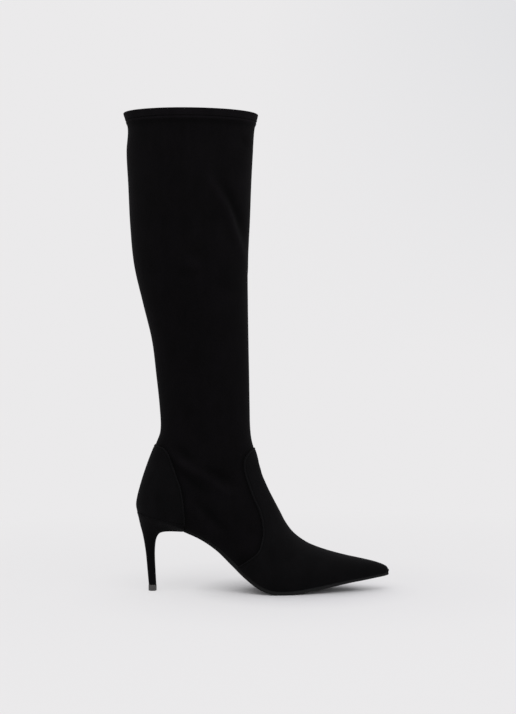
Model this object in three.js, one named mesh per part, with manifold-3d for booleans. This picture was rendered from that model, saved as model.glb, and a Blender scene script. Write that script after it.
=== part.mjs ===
// Knee-high pull-on boot for the right foot, with a pointed toe and a slim covered heel.
// Millimetres, +X to the toe, +Y to the inner side of the foot, +Z up.
import * as THREE from "three";
import { mergeVertices } from "three/addons/utils/BufferGeometryUtils.js";
import Module from "manifold-3d";

const wasm = await Module();
wasm.setup();

// Sizes of the foot
const FOOT_LENGTH = 264; // back of the heel to the point of the toe, without the overlays
const BALL_WIDTH = 76; // widest span of the forefoot
const SEAT_WIDTH = 49; // span of the heel seat at its feather edge
const HEEL_HEIGHT = 82.3; // back corner of the seat above the floor
const TOE_SPRING = 14.1; // rise of the toe point above the ball
const ANKLE_RISE = 92.5; // heel seat to the narrowest place of the ankle

// Sizes of the leg
const LEG_HEIGHT = 323.7; // narrowest place of the ankle to the back of the collar
const COLLAR_LENGTH = 140; // front to back
const COLLAR_WIDTH = 93; // side to side
const LEG_CENTRE = 72; // middle of the ankle, ahead of the back of the heel

// Thicknesses and margins
const WALL = 1.8; // suede with its lining
const OVERLAY = 1; // vamp and counter
const HEM_THICKNESS = 0.7; // what the turned hem adds to the wall
const HEM_DEPTH = 8;
const GAP = 0.3; // between pieces that meet
const SOLE_THICKNESS = 4;
const SOLE_TIP_THICKNESS = 2.5;
const SOLE_EDGE = 0.9; // how far the sole stands out past the feather edge
const SOLE_CHAMFER = 0.8;
const INSOLE_THICKNESS = 2;
const LASTING_MARGIN = 8; // turned in under the insole
const TIP_HEIGHT = 6; // top piece under the heel
const TIP_EDGE = 0.3; // how far it stands out past the stem
const STEM_LENGTH = 7.9; // heel stem above the top piece, front to back
const STEM_WIDTH = 8.6;
const STEM_CENTRE = 16.3; // middle of the stem, ahead of the back of the heel
const STEM_SQUARE = 2.6; // how flat the front of the stem is
const BREAST = 54; // front end of the heel's cup, ahead of the back of the heel
const CUP_FALL = 0.06; // how steeply the cup's underside falls ahead of the stem
const BALL_FRONT = 165; // front end of the flat under the ball
const TOE_MARGIN = 27; // closed underside behind the point of the toe
const INSOLE_START = 5.4; // insole's start ahead of the seat's back corner
const INSOLE_END = 12; // insole's end behind the point of the toe

// Fineness of the faceted forms
const ROW_STEP = 19;
const SEAT_STEPS = 4;
const FLAT_STEPS = 1;
const LOW_STEPS = 5;
const HIGH_STEPS = 6;
const SLOPE_SPAN = 3;
const EDGE_POINTS = 16;
const HEEL_SIDES = 20;
const SHARPEST_MITRE = 0.6; // least cosine that a moved corner is lengthened by
const LEAST_WALLS = 3; // thickness of the toe, in moves, at which a form moved in stops
const HALVINGS = 40;

const UNDER = SOLE_THICKNESS + GAP; // last above the floor at the ball
const ANKLE_HEIGHT = HEEL_HEIGHT + ANKLE_RISE;
const SEAT_RADIUS = SEAT_WIDTH / 2;
const BACK_HALF = 0.2 * SEAT_RADIUS; // half of the flat that runs up the back

const clamp = THREE.MathUtils.clamp;

// Rows of numbers under named columns.
function table(columns, ...rows) {
  return rows.map((row) => Object.fromEntries(columns.map((column, i) => [column, row[i]])));
}

// Sections of the leg, from the collar down. Heights are shares of LEG_HEIGHT, back and front shares of
// COLLAR_LENGTH behind and ahead of the leg's centre, and half widths shares of COLLAR_WIDTH.
const LEG_SECTIONS = table(
  ["backHeight", "frontHeight", "back", "front", "half", "level"],
  [1.0, 0.992, 0.61, 0.388, 0.497, 0.47],
  [0.973, 0.966, 0.59, 0.374, 0.489, 0.47],
  [0.941, 0.937, 0.579, 0.362, 0.484, 0.46],
  [0.876, 0.874, 0.589, 0.353, 0.492, 0.45],
  [0.773, 0.773, 0.577, 0.341, 0.505, 0.44],
  [0.634, 0.634, 0.561, 0.329, 0.5, 0.43],
  [0.51, 0.51, 0.532, 0.315, 0.473, 0.43],
  [0.387, 0.387, 0.466, 0.316, 0.43, 0.44],
  [0.269, 0.269, 0.4, 0.32, 0.392, 0.45],
  [0.155, 0.155, 0.367, 0.325, 0.36, 0.46],
  [0.047, 0.047, 0.341, 0.329, 0.342, 0.47],
);

// Sections of the ankle and foot, fanned round the instep. x and topX are shares of FOOT_LENGTH from the
// back of the heel. seat is the drop from heel to ball, spring the rise to the toe, rise and top shares of
// ANKLE_RISE above that line. sole, wide and their sideways shifts are shares of BALL_WIDTH, level is the
// height of the widest place in its section, and low and high round off the side below and above it.
const FOOT_SECTIONS = table(
  [
    "x", "seat", "spring", "rise", "topX", "top", "sole",
    "soleShift", "wide", "wideShift", "topShift", "level", "low", "high",
  ],
  [0.094, 1, 0, 0.921, 0.449, 0.959, 0, 0, 0.414, 0, 0, 0.47, 2, 2],
  [0.075, 1, 0, 0.764, 0.4545, 0.818, 0, 0, 0.41, 0, 0, 0.46, 2, 2],
  [0.047, 1, 0, 0.559, 0.4655, 0.705, 0, 0, 0.412, 0, 0, 0.45, 2, 1.95],
  [0.0195, 1, 0, 0.321, 0.4725, 0.64, 0, 0, 0.414, 0, 0.002, 0.43, 2, 1.9],
  [0.002, 1, 0, 0.105, 0.4775, 0.581, 0, 0, 0.41, 0, 0.004, 0.4, 2, 1.85],
  [0.007, 1, 0, 0, 0.48, 0.543, 0.322, 0, 0.404, 0, 0.006, 0.37, 1.95, 1.8],
  [0.061, 0.945, 0, 0, 0.4856, 0.535, 0.322, 0, 0.405, 0, 0.009, 0.35, 1.85, 1.78],
  [0.125, 0.881, 0, 0, 0.493, 0.514, 0.322, 0, 0.402, -0.003, 0.013, 0.34, 1.75, 1.75],
  [0.197, 0.791, 0, 0, 0.5057, 0.503, 0.293, -0.003, 0.395, -0.007, 0.02, 0.33, 1.7, 1.72],
  [0.265, 0.686, 0, 0, 0.5216, 0.493, 0.245, -0.02, 0.386, -0.016, 0.026, 0.33, 1.65, 1.7],
  [0.33, 0.541, 0, 0, 0.542, 0.502, 0.228, -0.037, 0.388, -0.026, 0.032, 0.33, 1.65, 1.7],
  [0.386, 0.364, 0, 0, 0.563, 0.537, 0.254, -0.05, 0.408, -0.033, 0.04, 0.32, 1.65, 1.7],
  [0.443, 0.185, 0, 0, 0.587, 0.558, 0.326, -0.05, 0.447, -0.033, 0.05, 0.3, 1.65, 1.7],
  [0.5, 0.053, 0, 0, 0.619, 0.551, 0.412, -0.029, 0.484, -0.022, 0.06, 0.28, 1.65, 1.72],
  [0.557, 0, 0, 0, 0.665, 0.496, 0.454, -0.007, 0.499, -0.005, 0.07, 0.27, 1.65, 1.75],
  [0.614, 0, 0, 0, 0.71, 0.435, 0.447, 0.013, 0.487, 0.013, 0.08, 0.28, 1.65, 1.8],
  [0.682, 0, 0.177, 0, 0.7655, 0.355, 0.401, 0.026, 0.441, 0.026, 0.086, 0.3, 1.65, 1.85],
  [0.758, 0, 0.387, 0, 0.824, 0.279, 0.329, 0.04, 0.366, 0.037, 0.088, 0.32, 1.65, 1.9],
  [0.833, 0, 0.603, 0, 0.881, 0.211, 0.237, 0.053, 0.274, 0.05, 0.084, 0.35, 1.7, 1.95],
  [0.898, 0, 0.752, 0, 0.928, 0.159, 0.158, 0.059, 0.19, 0.058, 0.078, 0.38, 1.75, 2],
  [0.947, 0, 0.872, 0, 0.964, 0.111, 0.096, 0.063, 0.124, 0.061, 0.072, 0.42, 1.8, 2],
  [0.979, 0, 0.95, 0, 0.986, 0.071, 0.05, 0.063, 0.074, 0.061, 0.066, 0.45, 1.9, 2],
  [0.9935, 0, 1, 0, 0.996, 0.037, 0.02, 0.063, 0.038, 0.062, 0.063, 0.48, 2, 2],
);

// Levels of the heel, from the stem up. level is a share of HEEL_HEIGHT, back and front are shares of BREAST
// from the back of the heel, half is a share of SEAT_WIDTH, and square how flat the front is.
const HEEL_LEVELS = table(
  ["level", "back", "front", "half", "square"],
  [0.24, 0.206, 0.361, 0.092, 2.6],
  [0.48, 0.172, 0.346, 0.108, 2.6],
  [0.62, 0.14, 0.359, 0.136, 2.6],
  [0.69, 0.12, 0.389, 0.17, 2.6],
  [0.735, 0.105, 0.44, 0.212, 2.7],
  [0.757, 0.096, 0.54, 0.26, 3],
  [0.769, 0.091, 0.75, 0.33, 4],
  [0.777, 0.087, 1, 0.39, 6],
  [0.83, 0.065, 1, 0.43, 6],
  [0.91, 0.038, 1, 0.49, 6],
  [1.03, -0.006, 1, 0.53, 6],
);

// Side view of the counter's front edge, from the back of the leg to the shank: x is a share of BREAST,
// z a share of ANKLE_RISE above the heel seat.
const COUNTER_EDGE = table(
  ["x", "z"],
  [0.1, 0.775],
  [0.49, 0.747],
  [0.626, 0.683],
  [0.704, 0.572],
  [0.797, 0.427],
  [0.875, 0.294],
  [0.924, 0.137],
  [0.968, -0.042],
  [0.997, -0.19],
);

// Side view of the vamp's back edge, from the instep to the sole: x is a share of FOOT_LENGTH.
const VAMP_EDGE = table(
  ["x", "z"],
  [0.49, 0.76],
  [0.462, 0.722],
  [0.433, 0.644],
  [0.423, 0.551],
  [0.43, 0.415],
  [0.46, 0.17],
  [0.482, 0.039],
  [0.4945, -0.09],
  [0.4985, -0.206],
  [0.4925, -0.318],
  [0.479, -0.413],
  [0.4505, -0.484],
  [0.4025, -0.58],
);

// Line where the heel's cup meets the counter, in the counter's shares.
const HEEL_RIM = table(
  ["x", "z"],
  [-0.147, 0.022],
  [0.22, -0.03],
  [0.464, -0.057],
  [0.684, -0.09],
  [1.076, -0.125],
);

function legSection(row) {
  return {
    bottomX: LEG_CENTRE - row.back * COLLAR_LENGTH,
    bottomZ: ANKLE_HEIGHT + row.backHeight * LEG_HEIGHT,
    topX: LEG_CENTRE + row.front * COLLAR_LENGTH,
    topZ: ANKLE_HEIGHT + row.frontHeight * LEG_HEIGHT,
    bottomY: 0,
    bottomHalf: 0,
    wideY: 0,
    wideHalf: row.half * COLLAR_WIDTH,
    topY: 0,
    level: row.level,
    low: 2,
    high: 2,
  };
}

function footSection(row) {
  const line = UNDER + row.seat * (HEEL_HEIGHT - UNDER) + row.spring * TOE_SPRING;
  return {
    bottomX: row.x * FOOT_LENGTH,
    bottomZ: line + row.rise * ANKLE_RISE,
    topX: row.topX * FOOT_LENGTH,
    topZ: line + row.top * ANKLE_RISE,
    bottomY: row.soleShift * BALL_WIDTH,
    bottomHalf: row.sole * BALL_WIDTH,
    wideY: row.wideShift * BALL_WIDTH,
    wideHalf: row.wide * BALL_WIDTH,
    topY: row.topShift * BALL_WIDTH,
    level: row.level,
    low: row.low,
    high: row.high,
  };
}

const SECTIONS = [...LEG_SECTIONS.map(legSection), ...FOOT_SECTIONS.map(footSection)];
const BOTTOM_KEYS = ["bottomX", "bottomZ", "bottomHalf", "bottomY"];
const CORNER = LEG_SECTIONS.length + FOOT_SECTIONS.findIndex((row) => row.rise === 0);

// Place of each section along the boot: the mean of the ways that its two ends have come.
const STATIONS = SECTIONS.reduce((places, section, i) => {
  if (i === 0) return [0];
  const last = SECTIONS[i - 1];
  const bottomWay = Math.hypot(section.bottomX - last.bottomX, section.bottomZ - last.bottomZ);
  const topWay = Math.hypot(section.topX - last.topX, section.topZ - last.topZ);
  return [...places, places[i - 1] + (bottomWay + topWay) / 2];
}, []);
const SEAT_START = STATIONS[CORNER];
const TOE_END = STATIONS[STATIONS.length - 1];

// Cubic through the sections' values of one key, with a sharp turn of the bottom line at the seat's corner.
function valueAt(key, interval, share) {
  const bends = BOTTOM_KEYS.includes(key);
  const first = bends && interval >= CORNER ? CORNER : 0;
  const last = bends && interval < CORNER ? CORNER : SECTIONS.length - 1;
  const slope = (i) => {
    const before = Math.max(first, i - 1);
    const after = Math.min(last, i + 1);
    return (SECTIONS[after][key] - SECTIONS[before][key]) / (STATIONS[after] - STATIONS[before]);
  };
  const length = STATIONS[interval + 1] - STATIONS[interval];
  const s = share;
  return (
    SECTIONS[interval][key] * (1 + 2 * s) * (1 - s) ** 2 +
    slope(interval) * length * s * (1 - s) ** 2 +
    SECTIONS[interval + 1][key] * s ** 2 * (3 - 2 * s) +
    slope(interval + 1) * length * s ** 2 * (s - 1)
  );
}

// Half circle at the back of the seat, as a share of the seat's full width there.
function seatRound(x) {
  const start = SECTIONS[CORNER].bottomX - (SEAT_RADIUS - Math.sqrt(SEAT_RADIUS ** 2 - BACK_HALF ** 2));
  const ahead = clamp((x - start) / SEAT_RADIUS, 0, 1);
  return Math.sqrt(1 - (1 - ahead) ** 2);
}

function sectionAt(station) {
  const inner = STATIONS.findLastIndex((place) => place <= station);
  const interval = clamp(inner, 0, SECTIONS.length - 2);
  const share = (station - STATIONS[interval]) / (STATIONS[interval + 1] - STATIONS[interval]);
  const section = {};
  for (const key of Object.keys(SECTIONS[0])) section[key] = valueAt(key, interval, share);
  if (station < SEAT_START) {
    section.bottomHalf = BACK_HALF;
    section.bottomY = 0;
  } else {
    section.bottomHalf *= seatRound(section.bottomX);
    section.bottomZ = Math.max(section.bottomZ, UNDER);
  }
  return section;
}

// Stations between two places, closer together where the seat begins.
function stationsBetween(from, to, step) {
  const places = [];
  for (let i = 0; i < STATIONS.length - 1; i += 1) {
    const length = STATIONS[i + 1] - STATIONS[i];
    const crowded = i === CORNER;
    const parts = crowded ? SEAT_STEPS : Math.ceil(length / step);
    for (let part = 0; part < parts; part += 1) {
      const share = part / parts;
      places.push(STATIONS[i] + length * (crowded ? share ** 2 : share));
    }
  }
  places.push(TOE_END);
  return [from, ...places.filter((place) => place > from + 1 && place < to - 1), to];
}

// One side of a section, from the middle of its bottom or back to its top or front.
function sideOf(section, side) {
  const bottomEdge = section.bottomY + side * section.bottomHalf;
  const widest = section.wideY + side * section.wideHalf;
  const points = [];
  for (let i = 0; i <= FLAT_STEPS; i += 1) {
    points.push({ t: 0, y: THREE.MathUtils.lerp(section.bottomY, bottomEdge, i / FLAT_STEPS) });
  }
  for (let i = 1; i <= LOW_STEPS; i += 1) {
    const turn = (Math.PI / 2) * (i / LOW_STEPS);
    points.push({
      t: section.level * (1 - Math.max(0, Math.cos(turn)) ** (2 / section.low)),
      y: bottomEdge + (widest - bottomEdge) * Math.sin(turn) ** (2 / section.low),
    });
  }
  for (let i = 1; i <= HIGH_STEPS; i += 1) {
    const turn = (Math.PI / 2) * (i / HIGH_STEPS);
    points.push({
      t: section.level + (1 - section.level) * Math.sin(turn) ** (2 / section.high),
      y: section.topY + (widest - section.topY) * Math.max(0, Math.cos(turn)) ** (2 / section.high),
    });
  }
  return points;
}

function ringOf(section) {
  const outerSide = sideOf(section, -1);
  const innerSide = sideOf(section, 1).slice(1, -1).reverse();
  const bottom = new THREE.Vector3(section.bottomX, 0, section.bottomZ);
  const top = new THREE.Vector3(section.topX, 0, section.topZ);
  return [...outerSide, ...innerSide].map(({ t, y }) => bottom.clone().lerp(top, t).setY(y));
}

function geometryOf(points, triangles) {
  const geometry = new THREE.BufferGeometry();
  geometry.setAttribute(
    "position",
    new THREE.Float32BufferAttribute(
      points.flatMap((point) => [point.x, point.y, point.z]),
      3,
    ),
  );
  geometry.setIndex(triangles);
  return geometry;
}

// Closed skin over rings that have as many points each, with a flat fan over each end.
function skinOver(rings) {
  const count = rings[0].length;
  const points = rings.flat();
  const triangles = [];
  for (let row = 0; row < rings.length - 1; row += 1) {
    for (let i = 0; i < count; i += 1) {
      const next = (i + 1) % count;
      const [a, b] = [row * count + i, row * count + next];
      triangles.push(a, a + count, b, b, a + count, b + count);
    }
  }
  [0, rings.length - 1].forEach((row) => {
    const middle = points.length;
    points.push(rings[row].reduce((sum, point) => sum.add(point), new THREE.Vector3()).divideScalar(count));
    for (let i = 0; i < count; i += 1) {
      const [a, b] = [row * count + i, row * count + ((i + 1) % count)];
      if (row === 0) triangles.push(middle, a, b);
      else triangles.push(middle, b, a);
    }
  });
  return geometryOf(points, triangles);
}

// Rings moved out by a distance, square to the surface, and further where it turns a sharp edge.
function movedRings(rings, distance) {
  const count = rings[0].length;
  const faceNormal = (row, i) => {
    if (row < 0 || row >= rings.length - 1) return null;
    const here = rings[row][(i + count) % count];
    const along = rings[row + 1][(i + 1 + count) % count].clone().sub(here);
    const across = rings[row][(i + 1 + count) % count].clone().sub(rings[row + 1][(i + count) % count]);
    return along.cross(across).normalize();
  };
  const capNormal = (row) => {
    if (row < rings.length - 1) return null;
    const ring = rings[row];
    const across = ring[Math.floor(count / 2)].clone().sub(ring[0]);
    const side = ring[Math.floor((3 * count) / 4)].clone().sub(ring[Math.floor(count / 4)]);
    return across.cross(side).normalize().negate();
  };
  return rings.map((ring, row) =>
    ring.map((point, i) => {
      const normals = [
        faceNormal(row - 1, i - 1),
        faceNormal(row - 1, i),
        faceNormal(row, i - 1),
        faceNormal(row, i),
        capNormal(row),
      ].filter(Boolean);
      const mean = normals.reduce((sum, normal) => sum.add(normal), new THREE.Vector3()).normalize();
      const facing = Math.max(SHARPEST_MITRE, Math.min(...normals.map((normal) => normal.dot(mean))));
      return point.clone().addScaledVector(mean, distance / facing);
    }),
  );
}

// manifold-3d solid of a closed geometry whose corners are shared by index.
function solidOf(geometry) {
  return new wasm.Manifold(
    new wasm.Mesh({
      numProp: 3,
      vertProperties: new Float32Array(geometry.getAttribute("position").array),
      triVerts: new Uint32Array(geometry.index.array),
    }),
  );
}

const LAST_RINGS = stationsBetween(0, TOE_END, ROW_STEP).map((station) => ringOf(sectionAt(station)));

// The boot's outer form moved out by a distance, or in where it is negative. What is moved in stops
// where the toe is too thin for it.
function lastForm(distance) {
  const thick = (ring) => ring[0].distanceTo(ring[ring.length / 2]) > -LEAST_WALLS * distance;
  return movedRings(LAST_RINGS.filter(thick), distance);
}

// A closed three.js shape's geometry with its corners shared.
function merged(geometry) {
  geometry.deleteAttribute("normal");
  geometry.deleteAttribute("uv");
  return mergeVertices(geometry);
}

// A side view outline carried right through the boot.
function sideCut(outline) {
  const shape = new THREE.Shape(outline.map((point) => new THREE.Vector2(point.x, point.z)));
  const depth = 2 * COLLAR_WIDTH;
  const geometry = new THREE.ExtrudeGeometry(shape, { depth, bevelEnabled: false });
  geometry.rotateX(Math.PI / 2).translate(0, depth / 2, 0);
  return solidOf(merged(geometry));
}

// Smooth line in side view through a table's points, whose x are shares of a length.
function sideLine(rows, length, raised = 0) {
  const curve = new THREE.SplineCurve(
    rows.map((row) => new THREE.Vector2(row.x * length, HEEL_HEIGHT + row.z * ANKLE_RISE + raised)),
  );
  return curve.getPoints(EDGE_POINTS).map((point) => ({ x: point.x, z: point.y }));
}

// Station at which the bottom line comes to a place along the foot.
function stationAt(x) {
  let [low, high] = [SEAT_START, TOE_END];
  for (let step = 0; step < HALVINGS; step += 1) {
    const middle = (low + high) / 2;
    if (sectionAt(middle).bottomX < x) low = middle;
    else high = middle;
  }
  return low;
}

// The last's bottom line in side view, between two stations.
function bottomLine(from, to) {
  return stationsBetween(from, to, ROW_STEP).map((station) => {
    const section = sectionAt(station);
    return { x: section.bottomX, z: section.bottomZ };
  });
}

// Direction of the bottom line at a station.
function slopeAt(station) {
  const ahead = sectionAt(Math.min(station + SLOPE_SPAN, TOE_END));
  const behind = sectionAt(Math.max(station - SLOPE_SPAN, SEAT_START));
  return new THREE.Vector3(ahead.bottomX - behind.bottomX, 0, ahead.bottomZ - behind.bottomZ).normalize();
}

// Rings of a band under the last. high and low are its two faces' depths below the last's bottom, spare
// is added to the feather edge's half width, and chamfer breaks its lower edges.
function bottomBand({ from, to, spare, high, lowAt, chamfer }) {
  return stationsBetween(from, to, ROW_STEP).map((station) => {
    const section = sectionAt(station);
    const slope = slopeAt(station);
    const down = new THREE.Vector3(slope.z, 0, -slope.x);
    const half = section.bottomHalf + spare;
    const low = lowAt(section.bottomX);
    const corner = (side, inset, depth) =>
      new THREE.Vector3(section.bottomX, section.bottomY + side * (half - inset), section.bottomZ)
        .addScaledVector(down, depth);
    return [
      corner(-1, 0, high),
      corner(0, 0, high),
      corner(1, 0, high),
      corner(1, 0, low - chamfer),
      corner(1, chamfer, low),
      corner(0, 0, low),
      corner(-1, chamfer, low),
      corner(-1, 0, low - chamfer),
    ];
  });
}

// The boot's own form moved out or in, as a solid.
function lastSolid(distance) {
  return solidOf(skinOver(lastForm(distance)));
}

// The step of the turned hem is the part of a thicker form above a line parallel to the collar.
function hemSolid() {
  const collar = SECTIONS[0];
  const outline = [
    { x: collar.bottomX - COLLAR_LENGTH, z: collar.bottomZ - HEM_DEPTH },
    { x: collar.bottomX, z: collar.bottomZ - HEM_DEPTH },
    { x: collar.topX, z: collar.topZ - HEM_DEPTH },
    { x: collar.topX + COLLAR_LENGTH, z: collar.topZ - HEM_DEPTH },
    { x: collar.topX + COLLAR_LENGTH, z: collar.topZ + HEM_DEPTH },
    { x: collar.bottomX - COLLAR_LENGTH, z: collar.bottomZ + HEM_DEPTH },
  ];
  return lastSolid(HEM_THICKNESS).intersect(sideCut(outline));
}

// Hollow of the leg and foot, carried on up through the collar.
function hollowSolid() {
  const rings = lastForm(-WALL);
  const above = rings[0].map((point) => point.clone().setZ(point.z + HEM_DEPTH));
  return solidOf(skinOver([above, ...rings]));
}

// Opening underneath, inside the turned-in lasting margin.
function underOpening() {
  return solidOf(
    skinOver(
      bottomBand({
        from: stationAt(SECTIONS[CORNER].bottomX + LASTING_MARGIN),
        to: stationAt(FOOT_LENGTH - TOE_MARGIN),
        spare: -LASTING_MARGIN,
        high: -2 * WALL,
        lowAt: () => WALL,
        chamfer: 0,
      }),
    ),
  );
}

function makeUpper() {
  return lastSolid(0).add(hemSolid()).subtract(hollowSolid()).subtract(underOpening());
}

// Layer that lies on the upper, one gap off it.
function overlaySolid() {
  return lastSolid(GAP + OVERLAY).subtract(lastSolid(GAP));
}

function makeVamp() {
  const edge = sideLine(VAMP_EDGE, FOOT_LENGTH);
  const foot = bottomLine(stationAt(edge[edge.length - 1].x), TOE_END);
  const toe = foot[foot.length - 1];
  const beyond = FOOT_LENGTH + LASTING_MARGIN;
  return overlaySolid().intersect(
    sideCut([...edge, ...foot, { x: beyond, z: toe.z }, { x: beyond, z: edge[0].z }]),
  );
}

// Everything below the ankle between two places along the foot.
function lowSlab(from, to) {
  return sideCut([
    { x: from, z: 0 },
    { x: to, z: 0 },
    { x: to, z: ANKLE_HEIGHT },
    { x: from, z: ANKLE_HEIGHT },
  ]);
}

// Everything under the heel's rim and behind its breast, grown by a clearance.
function heelRegion(clearance) {
  const rim = sideLine(HEEL_RIM, BREAST, clearance);
  const under = sideCut([...rim, { x: rim[rim.length - 1].x, z: 0 }, { x: rim[0].x, z: 0 }]);
  return under.intersect(lowSlab(-FOOT_LENGTH, BREAST + clearance));
}

function makeCounter() {
  const edge = sideLine(COUNTER_EDGE, BREAST);
  const beyond = -COLLAR_LENGTH / 2;
  const back = [
    { x: beyond, z: edge[edge.length - 1].z },
    { x: beyond, z: edge[0].z },
  ];
  return overlaySolid()
    .intersect(sideCut([...edge, ...back]))
    .subtract(heelRegion(GAP));
}

function soleDepth(x) {
  const reach = clamp((x - BALL_FRONT) / (FOOT_LENGTH - BALL_FRONT), 0, 1);
  return GAP + THREE.MathUtils.lerp(SOLE_THICKNESS, SOLE_TIP_THICKNESS, reach);
}

function makeOutsole() {
  const rings = bottomBand({
    from: stationAt(BREAST - SOLE_THICKNESS),
    to: TOE_END,
    spare: SOLE_EDGE,
    high: GAP,
    lowAt: soleDepth,
    chamfer: SOLE_CHAMFER,
  });
  const tip = rings[rings.length - 1];
  const middle = tip.reduce((sum, point) => sum.add(point), new THREE.Vector3()).divideScalar(tip.length);
  const ahead = slopeAt(TOE_END).multiplyScalar(SOLE_EDGE);
  const point = tip.map((corner) => corner.clone().setY((corner.y + middle.y) / 2).add(ahead));
  return solidOf(skinOver([...rings, point])).intersect(lowSlab(BREAST + GAP, 2 * FOOT_LENGTH));
}

function makeInsole() {
  const bottom = WALL + GAP;
  const rings = bottomBand({
    from: stationAt(SECTIONS[CORNER].bottomX + INSOLE_START),
    to: stationAt(FOOT_LENGTH - INSOLE_END),
    spare: 0,
    high: -bottom - INSOLE_THICKNESS,
    lowAt: () => -bottom,
    chamfer: 0,
  });
  return solidOf(skinOver(rings)).intersect(lastSolid(-bottom - GAP));
}

// Outline of the heel at a level: round behind and squarer in front, where the cup falls a little.
function heelRing(level, back, front, half, square) {
  const centre = back + Math.min(half, (front - back) / 2);
  const points = [];
  for (let i = 0; i < HEEL_SIDES; i += 1) {
    const turn = (2 * Math.PI * i) / HEEL_SIDES;
    const power = 2 / (Math.cos(turn) > 0 ? square : 2);
    const reach = Math.cos(turn) > 0 ? front - centre : centre - back;
    const x = centre + Math.sign(Math.cos(turn)) * reach * Math.abs(Math.cos(turn)) ** power;
    const y = Math.sign(Math.sin(turn)) * half * Math.abs(Math.sin(turn)) ** power;
    points.push(new THREE.Vector3(x, y, level - CUP_FALL * Math.max(0, x - STEM_CENTRE - STEM_LENGTH)));
  }
  return points;
}

function stemRing(z, edge) {
  const reach = STEM_LENGTH / 2 + edge;
  return heelRing(z, STEM_CENTRE - reach, STEM_CENTRE + reach, STEM_WIDTH / 2 + edge, STEM_SQUARE);
}

// Plan outline that keeps the heel's cup no wider than the foot above it.
function cupPlan() {
  const sections = stationsBetween(stationAt(SEAT_RADIUS), stationAt(BREAST + SEAT_RADIUS), ROW_STEP)
    .map((station) => sectionAt(station));
  const side = (sign) =>
    sections.map(
      (section) =>
        new THREE.Vector2(section.bottomX, section.bottomY + sign * (section.bottomHalf + SOLE_EDGE)),
    );
  const behind = (sign) => new THREE.Vector2(-SEAT_RADIUS, sign * (SEAT_RADIUS + SOLE_EDGE));
  const shape = new THREE.Shape([behind(-1), ...side(-1), ...side(1).reverse(), behind(1)]);
  return solidOf(merged(new THREE.ExtrudeGeometry(shape, { depth: ANKLE_HEIGHT, bevelEnabled: false })));
}

function makeHeel() {
  const levels = HEEL_LEVELS.map(({ level, back, front, half, square }) =>
    heelRing(level * HEEL_HEIGHT, back * BREAST, front * BREAST, half * SEAT_WIDTH, square),
  );
  const rings = [stemRing(TIP_HEIGHT + GAP, 0), ...levels].reverse();
  const body = solidOf(skinOver(rings)).intersect(cupPlan());
  return body.add(lastSolid(GAP + OVERLAY)).intersect(heelRegion(0)).subtract(lastSolid(GAP));
}

function makeHeelTip() {
  const outline = stemRing(0, TIP_EDGE).map((point) => new THREE.Vector2(point.x, point.y));
  const shape = new THREE.Shape(outline);
  return solidOf(merged(new THREE.ExtrudeGeometry(shape, { depth: TIP_HEIGHT, bevelEnabled: false })));
}

const suede = new THREE.MeshStandardMaterial({ color: 0x121215, roughness: 0.95, metalness: 0 });
const soleLeather = new THREE.MeshStandardMaterial({ color: 0x1c1c1d, roughness: 0.55, metalness: 0 });
const liningBoard = new THREE.MeshStandardMaterial({ color: 0x2a2826, roughness: 0.8, metalness: 0 });
const tipPlastic = new THREE.MeshStandardMaterial({ color: 0x2b2a29, roughness: 0.5, metalness: 0 });

const boot = new THREE.Group();
const pieces = [
  ["upper", makeUpper(), suede],
  ["vamp", makeVamp(), suede],
  ["heel_counter", makeCounter(), suede],
  ["insole", makeInsole(), liningBoard],
  ["outsole", makeOutsole(), soleLeather],
  ["heel", makeHeel(), suede],
  ["heel_tip", makeHeelTip(), tipPlastic],
];
for (const [name, solid, material] of pieces) {
  const { vertProperties, triVerts } = solid.getMesh();
  const geometry = new THREE.BufferGeometry();
  geometry.setAttribute("position", new THREE.BufferAttribute(vertProperties, 3));
  geometry.setIndex(new THREE.BufferAttribute(triVerts, 1));
  geometry.computeVertexNormals();
  const mesh = new THREE.Mesh(geometry, material);
  mesh.name = name;
  boot.add(mesh);
}

// The origin is under the middle of the boot's box, on the floor.
const box = new THREE.Box3().setFromObject(boot);
const middle = box.getCenter(new THREE.Vector3());
boot.position.set(-middle.x, -middle.y, -box.min.z);

export default boot;
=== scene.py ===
# Knee-high pull-on boot in black suede: the looks of each piece, the studio and the camera.
# Shapes are worked out in millimetres, with x from the back of the heel to the toe, y to the inner side
# of the foot and z up, and become metres in the frame's own place when their mesh is made.
import math

import bpy
import numpy as np
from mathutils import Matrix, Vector
from mathutils.bvhtree import BVHTree


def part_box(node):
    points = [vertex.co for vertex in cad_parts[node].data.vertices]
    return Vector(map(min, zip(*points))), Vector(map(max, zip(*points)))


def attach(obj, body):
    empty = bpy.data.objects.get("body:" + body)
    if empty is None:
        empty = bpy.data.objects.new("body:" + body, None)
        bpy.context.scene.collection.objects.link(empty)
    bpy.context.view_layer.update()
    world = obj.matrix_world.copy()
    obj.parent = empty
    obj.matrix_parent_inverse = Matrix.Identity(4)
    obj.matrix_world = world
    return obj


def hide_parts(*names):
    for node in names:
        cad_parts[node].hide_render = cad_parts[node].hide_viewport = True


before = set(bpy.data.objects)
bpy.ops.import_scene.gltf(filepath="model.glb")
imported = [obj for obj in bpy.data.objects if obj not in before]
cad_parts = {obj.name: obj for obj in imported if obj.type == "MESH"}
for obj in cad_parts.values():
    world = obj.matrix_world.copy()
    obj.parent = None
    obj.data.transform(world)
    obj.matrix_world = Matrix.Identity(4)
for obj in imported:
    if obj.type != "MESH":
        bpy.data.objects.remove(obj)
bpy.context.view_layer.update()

MM = 0.001
TINY = 1e-9

# Sizes of the foot and leg
FOOT_LENGTH = 264.0
BALL_WIDTH = 76.0
SEAT_WIDTH = 49.0
HEEL_HEIGHT = 82.3
TOE_SPRING = 14.1
ANKLE_RISE = 92.5
LEG_HEIGHT = 323.7
COLLAR_LENGTH = 140.0
COLLAR_WIDTH = 93.0
LEG_CENTRE = 72.0
BALL_FRONT = 165.0
BREAST = 54.0

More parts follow.
